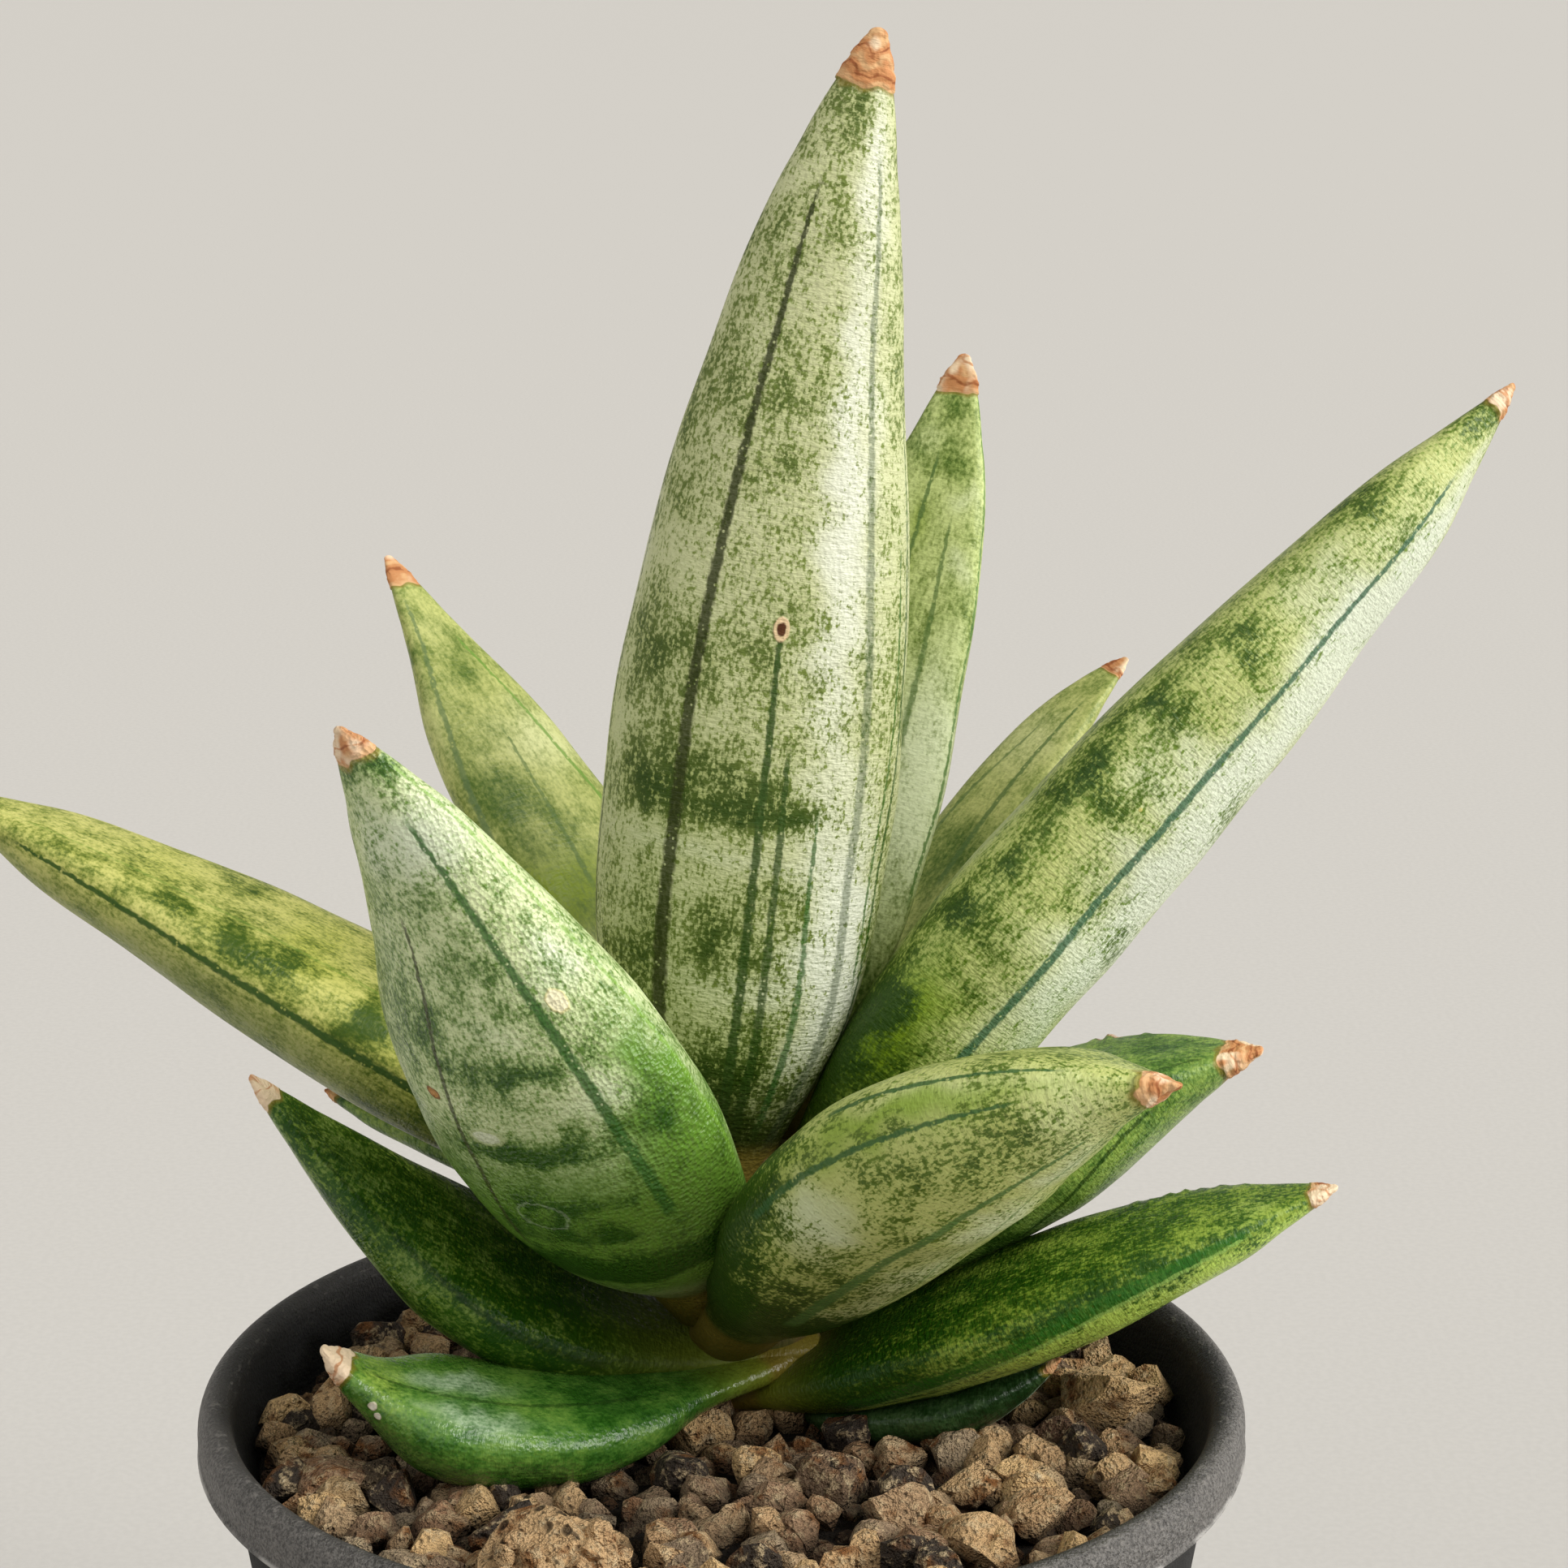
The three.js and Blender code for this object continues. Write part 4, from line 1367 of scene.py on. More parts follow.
@dataclass
class LeafBuilder:
    """Builds a leaf's skin over its spine and notes where each point lies; in mm."""

    groups: SharedGroups
    sides: int = 72
    steps: int = 120
    tip_steps: int = 30
    close_steps: int = 7
    tip_round: float = 0.4
    back_share: float = 0.6
    channel: float = 0.3
    sheath: float = 4.5
    sheath_taper: float = 0.8
    shoulder: float = 0.13
    shoulder_reach: float = 0.07
    cap: Row = (1.0, 0.98, 0.95, 0.93, 0.8, 0.76, 0.68, 0.54, 0.46, 0.34)
    lip: float = 0.02
    lip_reach: float = 0.12
    cleft_width: float = 0.4
    foot_depth: float = 0.6
    tip_height: float = 0.05
    swell: float = 0.035
    tip_swell: float = 0.06
    terrace: float = 0.05
    terraces: float = 2.2
    tooth: float = 0.1
    tooth_length: float = 0.007
    tooth_turn: float = 9
    patch_sway: float = 14
    patch_streak: float = 0.011
    patch_bend: float = 0.022
    crisp_bend: float = 0.006
    crisp_edge: float = 0.25

    def form(self, leaf: Leaf) -> Form:
        """Lay out a leaf's rings, from the foot in its sheath to the blunt dried tip.

        Args:
            leaf: The leaf.

        Returns:
            Its rings.
        """
        body = np.linspace(0, leaf.dry, self.steps, endpoint=False)
        shares = np.concatenate([body, np.linspace(leaf.dry, 1, self.tip_steps)])
        centres, along = leaf.spine_at(shares)
        near = np.clip((shares - leaf.dry + self.shoulder_reach) / self.shoulder_reach, 0, 1)
        grown = 1 + self.shoulder * near * near * (3 - 2 * near)
        border = leaf.widths_at(np.array([leaf.dry]))[0] * (1 + self.shoulder)
        past = leaf.past(shares)
        taper = np.interp(past, np.linspace(0, 1, len(self.cap)), self.cap)
        taper = border * (taper + self.lip * (past < self.lip_reach))
        widths = np.where(past > 0, taper, leaf.widths_at(shares) * grown)

        rounding = np.arange(1, self.close_steps) / self.close_steps * np.pi / 2
        reach = np.sin(rounding)[:, None] * widths[-1] * self.tip_round
        closing = widths[-1] * np.cos(rounding)
        foot = centres[:1] - along[:1] * self.sheath
        return Form(
            np.concatenate([[0.0], shares, np.ones(len(rounding))]),
            np.concatenate([foot, centres, centres[-1] + along[-1] * reach]),
            np.concatenate([along[:1], along, np.repeat(along[-1:], len(rounding), 0)]),
            np.concatenate([widths[:1] * self.sheath_taper, widths, closing]),
            np.concatenate([widths[:1], widths, closing]) * leaf.fat,
        )

    def build(self, leaf: Leaf) -> bpy.types.Object:
        """Build one leaf and dress it.

        Args:
            leaf: The leaf's form and dress.

        Returns:
            The finished piece.
        """
        form = self.form(leaf)
        angles = np.arange(self.sides) * 2 * np.pi / self.sides
        lift = np.sin(angles)
        front = (1 - self.back_share) * lift * (1 - self.channel * lift**2)
        depth = np.where(lift > 0, front, self.back_share * lift)
        facing = np.array(leaf.face, float)
        facing /= np.linalg.norm(facing)
        normal = facing - (form.along @ facing)[:, None] * form.along
        normal /= np.linalg.norm(normal, axis=1)[:, None]
        side = np.cross(form.along, normal)
        factor = self.unevenness(leaf, form.shares, angles)
        across = np.cos(angles) * form.widths[:, None] / 2 * factor
        deep = depth * form.thick[:, None] * factor
        groove = np.exp(-((np.cos(angles) / self.cleft_width) ** 2))
        sunk = leaf.cleft * leaf.past(form.shares)[:, None] ** 2 * groove
        rings = (
            form.centres[:, None]
            + side[:, None] * across[..., None]
            + normal[:, None] * deep[..., None]
            - form.along[:, None] * sunk[..., None]
        )
        base = form.centres[0] - form.along[0] * self.foot_depth
        tip = rings[-1].mean(0) + form.along[-1] * self.tip_height
        points = np.concatenate([rings.reshape(-1, 3), [base, tip]]) * MM
        faces = tube_faces(len(rings), self.sides, True)
        piece = mesh_piece(leaf.name + "_skin", points, faces)
        run = form.run() - self.sheath
        self.note_place(piece.data, run, np.stack([across, deep], -1))
        turns = leaf.stored(angles / (2 * np.pi) - 0.75)
        self.note_skin(piece.data, form.shares, turns, rings)
        tone = self.tones(leaf, form.shares, turns).reshape(-1, 3)
        keep(piece.data, "tone", np.concatenate([tone, np.zeros((2, 3))]))
        length = float(run[-1])
        piece.data.materials.append(LeafFinish(leaf, self.groups, length).make())
        return piece

    def unevenness(self, leaf: Leaf, shares: np.ndarray, angles: np.ndarray) -> np.ndarray:
        """Give the factor that leaves a leaf uneven and terraces its dried tip.

        Args:
            leaf: The leaf.
            shares: The share at each ring.
            angles: The angle at each corner.

        Returns:
            A factor for each ring and corner.
        """
        seed = leaf.seed()
        factor = np.ones((len(shares), len(angles)))
        for (ring, share), past in zip(enumerate(shares), leaf.past(shares)):
            for corner, angle in enumerate(angles):
                x, y = math.cos(angle), math.sin(angle)
                more = self.swell * wander(1.3 * x, 1.3 * y, 9 * share + seed)
                for at_share, at_turn, height in leaf.teeth:
                    off = (math.degrees(angle) - 270 - at_turn + 180) % 360 - 180
                    away = ((share - at_share) / self.tooth_length) ** 2
                    away += (off / self.tooth_turn) ** 2
                    more += self.tooth * height * math.exp(-away)
                if past > 0:
                    rough = wander(2.5 * x, 2.5 * y, 4 * past + seed)
                    step = (past * self.terraces + 0.5 * rough) % 1.0
                    more += self.tip_swell * rough + self.terrace * (0.5 - step)
                factor[ring, corner] += more
        return factor

    def note_place(self, mesh: bpy.types.Mesh, run: np.ndarray, section: np.ndarray) -> None:
        """Store where each point would lie if the leaf stood straight.

        Args:
            mesh: The leaf's mesh.
            run: The distance along the spine at each ring, in mm.
            section: Each corner's distance across and depth, in mm.
        """
        along = np.broadcast_to(run[:, None, None], (len(run), self.sides, 1))
        straight = np.concatenate([section, along], -1).reshape(-1, 3)
        ends = [[0, 0, run[0]], [0, 0, run[-1]]]
        keep(mesh, "straight", np.concatenate([straight, ends]) * MM)

    def note_skin(
        self, mesh: bpy.types.Mesh, shares: np.ndarray, turns: np.ndarray, rings: np.ndarray
    ) -> None:
        """Store each face corner's turn, share and reach, with a clean seam.

        Args:
            mesh: The leaf's mesh.
            shares: The share at each ring.
            turns: The turn at each corner, as a fraction of a full turn.
            rings: The rings' points, in mm.
        """
        reach = np.linalg.norm(np.roll(rings, -1, 1) - np.roll(rings, 1, 1), axis=2)
        reach = np.concatenate([(reach * self.sides / 2).reshape(-1), [1, 1]]) * MM
        turn = np.concatenate([np.tile(turns, len(shares)), [0, 0]])
        share = np.concatenate([np.repeat(shares, self.sides), shares[[0, -1]]])
        corners = np.empty(len(mesh.loops), int)
        mesh.loops.foreach_get("vertex_index", corners)
        values = np.stack([turn, share, reach], -1)[corners]
        before = (int(np.argmin(turns)) - 1) % self.sides
        quads = values[: (len(shares) - 1) * self.sides * 4].reshape(-1, self.sides, 4, 3)
        quads[:, before, 2:, 0] += 1.0
        keep(mesh, "skin", values, "CORNER")

    def tones(self, leaf: Leaf, shares: np.ndarray, turns: np.ndarray) -> np.ndarray:
        """Work out how strongly each patch colours each point.

        Args:
            leaf: The leaf.
            shares: The share at each ring.
            turns: The turn at each corner, as a fraction of a full turn.

        Returns:
            The strengths of the dark, lime and pale patches at each ring and corner.
        """
        seed, round_by, along_by = leaf.seed(), 2.4, 26
        streak = np.array([wander(turn * 50, seed, 0.5) for turn in turns])
        sway, bend = np.empty((2, len(shares), len(turns)))
        for ring, share in enumerate(shares):
            for corner, angle in enumerate(turns * 2 * np.pi):
                x, y = round_by * math.cos(angle), round_by * math.sin(angle)
                z = along_by * share + seed
                sway[ring, corner] = wander(x, y, z)
                bend[ring, corner] = wander(x + 9, y, z)
        tone = np.zeros((len(shares), len(turns), 3))
        for patch in leaf.all_patches():
            off = (turns * 360 - patch.turn + 180) % 360 - 180 + self.patch_sway * sway
            rise = shares[:, None] - patch.share + self.patch_streak * streak
            rise = rise + (self.crisp_bend if patch.crisp else self.patch_bend) * bend
            below = patch.length * (self.crisp_edge if patch.crisp else 1)
            near = (rise / np.where(rise < 0, below, patch.length)) ** 2
            tone[..., patch.tint.value] += patch.strength * np.exp(
                -near - (off / patch.spread) ** 2
            )
        return tone


@dataclass(frozen=True)
class CharcoalPlastic:
    """The pot's finish: fine grain, scuffs, painted highlight on the bead and its edge, painted
    shade inside and under the lip.
    """

    dark: str = "#2e2c2a"
    light: str = "#423f3c"
    dust: str = "#8f8b86"
    scuffed: str = "#8a8580"
    # Colour of the painted highlight along the lip's outer edge.
    edge: str = "#c9c6c1"
    # Colour of the painted shade on the inner wall and under the lip.
    inside: str = "#0c0b0a"

    def make(self, rim: float, lip: float) -> bpy.types.Material:
        """Lay the finish out.

        Args:
            rim: The rim's radius, in metres.
            lip: The height of the lip's underside.

        Returns:
            The material.
        """
        made, graph = new_material("charcoal_plastic")
        place = graph.place()
        out = graph.length(graph.scaled(place, (1.0, 1.0, 0.0)))
        up = graph.parts(place)[2]
        grain = graph.clouds(place, 3000.0, 2.0, 0.7)
        wide = graph.clouds(place, 90.0, 4.0, 0.6)
        scuff = graph.clouds(graph.scaled(place, (1.0, 1.0, 3.0)), 700.0, 2.0, 0.65)
        # The bead's outer half is lightened with a grainy grey: painted highlight, mottled like
        # dust.
        bead = graph.ramp(out, rim - 2.6 * MM, rim - 0.5 * MM)
        bead = bead * graph.ramp(up, lip, lip + 0.6 * MM)
        worn = graph.ramp(scuff, 0.58, 0.7) * 0.45
        # A thin bright line along the lip's outer edge: painted highlight.
        edge = graph.ramp(abs(up - (lip + 0.25 * MM)), 0.4 * MM, 0.12 * MM)
        edge = edge * graph.ramp(out, rim - 0.5 * MM, rim - 0.15 * MM)
        # Everything within the bead's radius, above about 1 to 4 cm, is darkened almost to black:
        # painted shade on the inner wall and on the body under the lip.
        inside = graph.ramp(out, rim - 2.9 * MM, rim - 3.8 * MM) * graph.ramp(up, 0.01, 0.04)
        colour = graph.layers(
            graph.mix(graph.ramp(wide, 0.35, 0.65), self.dark, self.light),
            (bead * graph.ramp(grain, 0.32, 0.68, 0.05, 0.6), self.dust),
            (worn, self.scuffed),
            (edge * graph.ramp(wide, 0.42, 0.58, 0.08, 0.75), self.edge),
            (inside * 0.92, self.inside),
        )
        rough = graph.ramp(wide, 0.3, 0.7, 0.42, 0.55) + worn * 0.3 + inside * 0.35
        normal = graph.bump(grain + scuff * 0.8, 0.8, 0.0005)
        dress(graph, Base_Color=colour, Roughness=rough, Normal=normal)
        return made


@dataclass
class Pot:
    """The round plastic pot with its thick rolled rim, in mm.

    Its foot is a row of steps from the base's radius, and its step a row of steps from the
    rim's radius and the lip's underside.
    """

    height: float = 88
    rim_radius: float = 50
    rim_height: float = 9
    rim_width: float = 3.6
    rim_crown: float = 2.6
    lip_height: float = 4.9
    body_top: float = 46.4
    base_radius: float = 34
    wall: float = 1.8
    floor: float = 2.4
    holes: int = 6
    hole_radius: float = 3
    hole_ring: float = 20
    sides: int = 160
    foot: tuple[Row, ...] = ((-4, 0), (-1, 0), (-0.3, 0.25), (0, 1))
    step: tuple[Row, ...] = (
        (-3.2, -0.6), (-3.05, -0.15), (-2.7, 0), (-0.5, 0), (-0.1, 0.06), (0, 0.2),
        (-0.02, 0.4), (-0.2, 0.62), (-0.28, 1), (-0.16, 1.6),
    )

    def skirt(self) -> float:
        """Give the height of the rim's lower edge in the solids."""
        return self.height - self.rim_height

    def inner_radius(self, height: float) -> float:
        """Give the inner radius at a height below the rim.

        Args:
            height: The height, in mm.

        Returns:
            The radius there.
        """
        outer = self.base_radius
        outer += (self.body_top - self.base_radius) * min(height / self.skirt(), 1)
        return min(outer - self.wall, self.rim_radius - self.rim_width - self.wall / 2)

    def profile(self) -> list[tuple[float, float]]:
        """Lay out the pot's profile from its foot over the rim to its floor.

        Returns:
            Radius and height pairs.
        """
        base, skirt, lip = self.base_radius, self.skirt(), self.height - self.lip_height
        ring, middle = self.hole_ring - 5, self.rim_radius - self.rim_width / 2
        line = [(0.0, 0.0), (ring, 0.0)] + [(base + out, up) for out, up in self.foot]
        line += [
            (base + (self.body_top - base) * share, 1 + (skirt - 1) * share)
            for share in np.arange(1, 25) / 24
        ]
        line += [(self.rim_radius + out, lip + up) for out, up in self.step]
        for angle in np.arange(17) * math.pi / 16:
            out = self.rim_width / 2 * math.cos(angle) * 0.95
            up = self.rim_crown * math.sin(angle)
            line.append((middle + out, self.height - self.rim_crown + up))
        for share in np.arange(9) / 8:
            height = skirt + (self.floor - skirt) * share
            line.append((self.inner_radius(height), height))
        return line + [(ring, self.floor), (0.0, self.floor)]

    def build(self) -> bpy.types.Object:
        """Build and dress the pot.

        Returns:
            The finished piece.
        """
        points, faces = lathe([(r * MM, z * MM) for r, z in self.profile()], self.sides)
        lip = (self.height - self.lip_height) * MM
        finish = CharcoalPlastic().make(self.rim_radius * MM, lip)
        pot = mesh_piece("pot_body", points, faces, finish)
        radius, ring, cutters = self.hole_radius * MM, self.hole_ring * MM, []
        for angle in np.arange(self.holes) * 2 * math.pi / self.holes:
            middle = (ring * math.cos(angle), ring * math.sin(angle), self.floor / 2 * MM)
            bm = bmesh.new()
            bmesh.ops.create_cone(
                bm,
                cap_ends=True,
                segments=24,
                radius1=radius,
                radius2=radius,
                depth=(self.floor + 2) * MM,
                matrix=Matrix.Translation(middle),
            )
            cutters.append(new_object("drain_cutter", mesh_of(bm, "drain_cutter")))
            cut = pot.modifiers.new("drain", "BOOLEAN")
            cut.object = cutters[-1]
            cut.operation = "DIFFERENCE"
            cut.solver = "EXACT"
        settle(pot)
        for cutter in cutters:
            bpy.data.objects.remove(cutter)
        return pot


@dataclass(frozen=True)
class PorousGrit:
    """The gravel's finish: dry, porous grains in browns and a few dark greys, with painted shade
    in their gaps, pores and holes.
    """

    sand: str = "#a98262"
    ash: str = "#b5a388"
    tan: str = "#dab484"
    brown: str = "#604836"
    # A light straw: partly a tone of some grains, partly painted light on the large stone on the
    # right.
    straw: str = "#e6c08a"
    lava: str = "#463d35"
    rust: str = "#8a5c34"
    crust: str = "#dcc39a"
    shade: str = "#3c2a18"
    cream: str = "#e2d0ac"
    # Colour of the painted shade in the pores.
    pit: str = "#2c2014"
    # Colour of the painted shade low in the gaps between the grains.
    gap: str = "#22170d"
    # Colour of the painted shade in the spongy stone's holes.
    hole: str = "#38281a"
    # Colour of the fill, near black: painted shade deep in the bed.
    fill: str = "#1b140c"

    def make(self, top: float, spongy_tint: float) -> bpy.types.Material:
        """Lay the finish out.

        Args:
            top: The height of the fill between the grains, in metres.
            spongy_tint: The tint of the stone that has holes.

        Returns:
            The material.
        """
        made, graph = new_material("porous_grit")
        place = graph.place()
        tint = graph.attribute("tint", "Fac")
        wide = graph.clouds(place, 260.0, 3.0, 0.6)
        grain = graph.clouds(place, 2600.0, 2.0, 0.7)
        flecks = graph.clouds(graph.shifted(place, (0.2, 0.7, 0.1)), 800.0, 3.0, 0.7)
        pores = graph.cells(graph.shifted(place, (0.4, 0.1, 0.2)), 1100.0)
        rise = graph.parts(place)[2] - top
        spongy = graph.math("COMPARE", tint, spongy_tint, 0.004)
        holes = graph.ramp(graph.cells(place, 520.0), 0.34, 0.16) * spongy
        colour = graph.layers(
            graph.mix(graph.math("FRACT", tint * 7.3), self.sand, self.ash),
            (graph.ramp(tint, 0.45, 0.85), self.tan),
            (graph.ramp(tint, 0.34, 0.15), self.brown),
            # Grains tinted from 0.87 up, the large stone on the right among them, turn light
            # straw: partly tone, partly painted light.
            (graph.ramp(tint, 0.86, 0.87), self.straw),
            (graph.ramp(tint, 0.93, 0.94), self.lava),
            (graph.ramp(wide, 0.5, 0.68), self.rust),
            (graph.ramp(flecks, 0.5, 0.64) * 0.65, self.crust),
            (graph.ramp(grain, 0.48, 0.34) * 0.42, self.shade),
            (graph.ramp(flecks, 0.68, 0.73) * 0.8, self.cream),
            # Pores are darkened: painted shade in them.
            (graph.ramp(pores, 0.2, 0.08) * 0.22, self.pit),
            # Below about 3.6 mm over the fill the grains darken: painted shade low in the gaps
            # between them.
            (graph.ramp(rise, 1.0 * MM, 3.6 * MM, 0.82, 0.0), self.gap),
            # The spongy stone's holes are darkened: painted shade in them.
            (holes * 0.85, self.hole),
            # The fill under the grains is near black: painted shade deep between them.
            (graph.ramp(tint, 0.06, 0.03), self.fill),
        )
        height = grain * 1.2 + graph.ramp(pores, 0.05, 0.3) + flecks * 2.2 - holes * 2.5
        normal = graph.bump(height, 1.0, 0.0008)
        dress(
            graph, Base_Color=colour, Roughness=0.95, Specular_IOR_Level=0.25, Normal=normal
        )
        return made


@dataclass(frozen=True)
class Stone:
    """A large stone: its place, its size across and how far it is sunk, in mm, its tint."""

    x: float
    y: float
    size: float
    sunk: float = 0.0
    tint: float = 0.5


@dataclass
class Gravel:
    """The bed of coarse, porous grit: placed grains, finer grit between them, a fill.

    Sizes are in mm. Of the pairs, those of the grit are ends, and the others are a low end
    and the span above it, as a draw takes them.
    """

    pot: Pot
    fill_top: float = 80.6
    count: int = 168
    small: float = 4.6
    large: float = 8
    sink: float = 0.44
    seed: int = 20260
    lift: float = 1.6
    stray: float = 0.12
    reach_share: float = 0.64
    stone_lift: float = 0.28
    swell: float = 0.9
    gap: float = 0.3
    grit_spacing: float = 2.5
    grit_size: float = 4.1
    grit_lift: float = 1.2
    grit_seed: int = 11
    grit_grow: tuple[float, float] = (0.6, 1.25)
    grit_tint: tuple[float, float] = (0.1, 1.0)
    grain_cuts: int = 13
    cut_depth: tuple[float, float] = (0.31, 0.17)
    grain_long: float = 1.08
    grain_wide: tuple[float, float] = (0.9, 0.16)
    grain_high: tuple[float, float] = (0.72, 0.2)
    stem: Spot = (3.5, 8, 5.4)
    spongy_tint: float = 0.8
    crumbs: int = 46
    crumb_away: tuple[float, float] = (0.37, 0.1)
    crumb_size: tuple[float, float] = (1.6, 2.6)
    crumb_wide: tuple[float, float] = (0.7, 0.4)
    crumb_high: tuple[float, float] = (0.6, 0.5)
    crumb_tint: tuple[float, float] = (0.7, 0.1)
    stones: tuple[Stone, ...] = (
        Stone(37, 3.2, 11, tint=0.9),
        Stone(-14, -33, 15, 2.8, tint=0.8),
        Stone(24, -26, 8, tint=0.84),
        Stone(-18.5, -24, 7.5, tint=0.98),
        Stone(-36.5, -14, 8, tint=0.3),
        Stone(16, -19.5, 7.5, tint=0.6),
        Stone(10.5, -13.5, 7.5, tint=0.22),
        Stone(28.5, -18.5, 7.5, tint=0.7),
    )

    def grain_row(self, draws: Draws, x: float, y: float, z: float, size: float) -> Row:
        """Use the draws of one grain.

        Args:
            draws: The row of draws.
            x: Its place, in mm.
            y: Its place.
            z: Its height.
            size: Its size across.

        Returns:
            Its place, three sizes, two turns and a tint.
        """
        corners = [draws.next() for _ in range(12)]
        long = size * self.grain_long
        wide = size * draws.above(*self.grain_wide)
        high = size * draws.above(*self.grain_high)
        tip = 0.5 * draws.next()
        turn = 2 * math.pi * draws.next()
        return (x, y, z, long, wide, high, tip, turn, corners[0])

    def grain_rows(self) -> list[Row]:
        """Lay out the grains as the solids have them.

        Returns:
            A row of numbers for each.
        """
        draws = Draws(self.seed)
        rows = []
        for s in self.stones:
            z = self.fill_top + s.size * self.stone_lift - s.sunk
            rows.append(self.grain_row(draws, s.x, s.y, z, s.size))
        reach = self.pot.inner_radius(self.pot.skirt())
        for index in range(self.count):
            first = draws.next()
            size = self.small + (self.large - self.small) * first * draws.next()
            limit = reach - size * self.reach_share
            radius = min(reach * math.sqrt((index + 0.5) / self.count), limit)
            angle = index * GOLDEN + self.stray * (draws.next() - 0.5)
            x, y = radius * math.cos(angle), radius * math.sin(angle)
            z = self.fill_top + size * (0.5 - self.sink) + self.lift * draws.next()
            row = self.grain_row(draws, x, y, z, size)
            crowded = any(math.hypot(s.x - x, s.y - y) < s.size * 0.5 for s in self.stones)
            near = math.hypot(self.stem[0] - x, self.stem[1] - y)
            if not crowded and near >= self.stem[2] + size / 2:
                rows.append(row)
        return rows

    def crumb_rows(self) -> list[Row]:
        """Lay crumbs over the spongy stone, which make it a jagged crust.

        Returns:
            The same numbers for each as for a grain.
        """
        draws = Draws(self.seed + 1)
        stone = next(s for s in self.stones if s.tint == self.spongy_tint)
        middle = self.fill_top + stone.size * self.stone_lift - stone.sunk
        rows = []
        for index in range(self.crumbs):
            up = 1 - 0.95 * (index + 0.5) / self.crumbs
            flat, around = math.sqrt(1 - up * up), index * GOLDEN
            away = stone.size * draws.above(*self.crumb_away)
            size = draws.above(*self.crumb_size)
            x = stone.x + 1.1 * away * flat * math.cos(around)
            y = stone.y + away * flat * math.sin(around)
            z = middle + 0.8 * away * up
            wide = size * draws.above(*self.crumb_wide)
            high = size * draws.above(*self.crumb_high)
            tip, turn = 3 * draws.next(), 2 * math.pi * draws.next()
            tint = draws.above(*self.crumb_tint)
            rows.append((x, y, z, size * 1.1, wide, high, tip, turn, tint))
        return rows

    def rock(self, name: str, seed: int, splits: int) -> bpy.types.Object:
        """Make one angular, pitted shape a metre across.

        Args:
            name: Its name.
            seed: The seed of its cuts.
            splits: How often a twenty-sided ball is split.

        Returns:
            The shape's object.
        """
        draws = Draws(seed)
        bm = bmesh.new()
        bmesh.ops.create_icosphere(bm, subdivisions=splits, radius=0.6)
        for _ in range(self.grain_cuts):
            z = 2 * draws.next() - 1
            around, flat = 2 * math.pi * draws.next(), math.sqrt(1 - z * z)
            normal = Vector((flat * math.cos(around), flat * math.sin(around), z))
            limit = draws.above(*self.cut_depth)
            for vert in bm.verts:
                vert.co -= normal * max(vert.co.dot(normal) - limit, 0)
        for vert in bm.verts:
            spot = vert.co * 3.4 + Vector((seed, seed * 0.7, 0))
            vert.co *= 1 + 0.08 * noise.noise(spot) + 0.1 * noise.noise(spot * 2.9)
        mesh = mesh_of(bm, name)
        mesh.polygons.foreach_set("use_smooth", [True] * len(mesh.polygons))
        mesh.set_sharp_from_angle(angle=math.radians(24))
        return bpy.data.objects.new(name, mesh)

    def shapes(self, name: str, many: int, splits: int) -> bpy.types.Collection:
        """Make a collection of different shapes to pick from.

        Args:
            name: Its name.
            many: How many shapes it holds.
            splits: How fine they are.

        Returns:
            The collection.
        """
        group = bpy.data.collections.new(name)
        bpy.context.scene.collection.children.link(group)
        for index in range(many):
            group.objects.link(self.rock(f"{name}_{index:02d}", 31 + 7 * index, splits))
        return group

    def scatter_tree(self) -> tuple[bpy.types.NodeTree, dict[str, str]]:
        """Build the tree that lays the grains and the grit.

        Returns:
            The tree and the identifier of each named input.
        """
        tree = bpy.data.node_groups.new("gravel_scatter", "GeometryNodeTree")
        kinds = {
            "Geometry": "Geometry", "Fill": "Object", "Grain Shapes": "Collection",
            "Grit Shapes": "Collection", "Reach": "Float", "Top": "Float",
            "Grit Spacing": "Float", "Grit Size": "Float", "Lift": "Float", "Seed": "Int",
            "Finish": "Material",
        }
        face, ids = tree.interface, {}
        for name, kind in kinds.items():
            made = face.new_socket(name, in_out="INPUT", socket_type="NodeSocket" + kind)
            ids[name] = made.identifier
        face.new_socket("Geometry", in_out="OUTPUT", socket_type="NodeSocketGeometry")
        graph = Graph(tree)
        at = graph.ports(tree.nodes.new("NodeGroupInput").outputs)

        def noted(name: str) -> Value:
            """Read what the points store under a name."""
            kind = "GeometryNodeInputNamedAttribute"
            return graph.put(kind, {"Name": name}, "Attribute", data_type="FLOAT_VECTOR")

        def drawn(low: object, high: object) -> Value:
            """Draw a number for each point or shape."""
            ends = {2: low, 3: high, "Seed": at.seed}
            return graph.put("FunctionNodeRandomValue", ends, 1, data_type="FLOAT")

        def instances(points: Value, group: Value, turn: Value, scale: Value) -> Value:
            """Put shapes of a collection on points.

            Args:
                points: The points.
                group: The collection.
                turn: How each shape is turned.
                scale: How large it is.

            Returns:
                The shapes.
            """
            source = graph.put(
                "GeometryNodeCollectionInfo",
                {"Collection": group, "Separate Children": True, "Reset Children": True},
            )
            inputs = {"Points": points, "Instance": source, "Pick Instance": True}
            inputs |= {"Rotation": turn, "Scale": scale}
            return graph.put("GeometryNodeInstanceOnPoints", inputs)

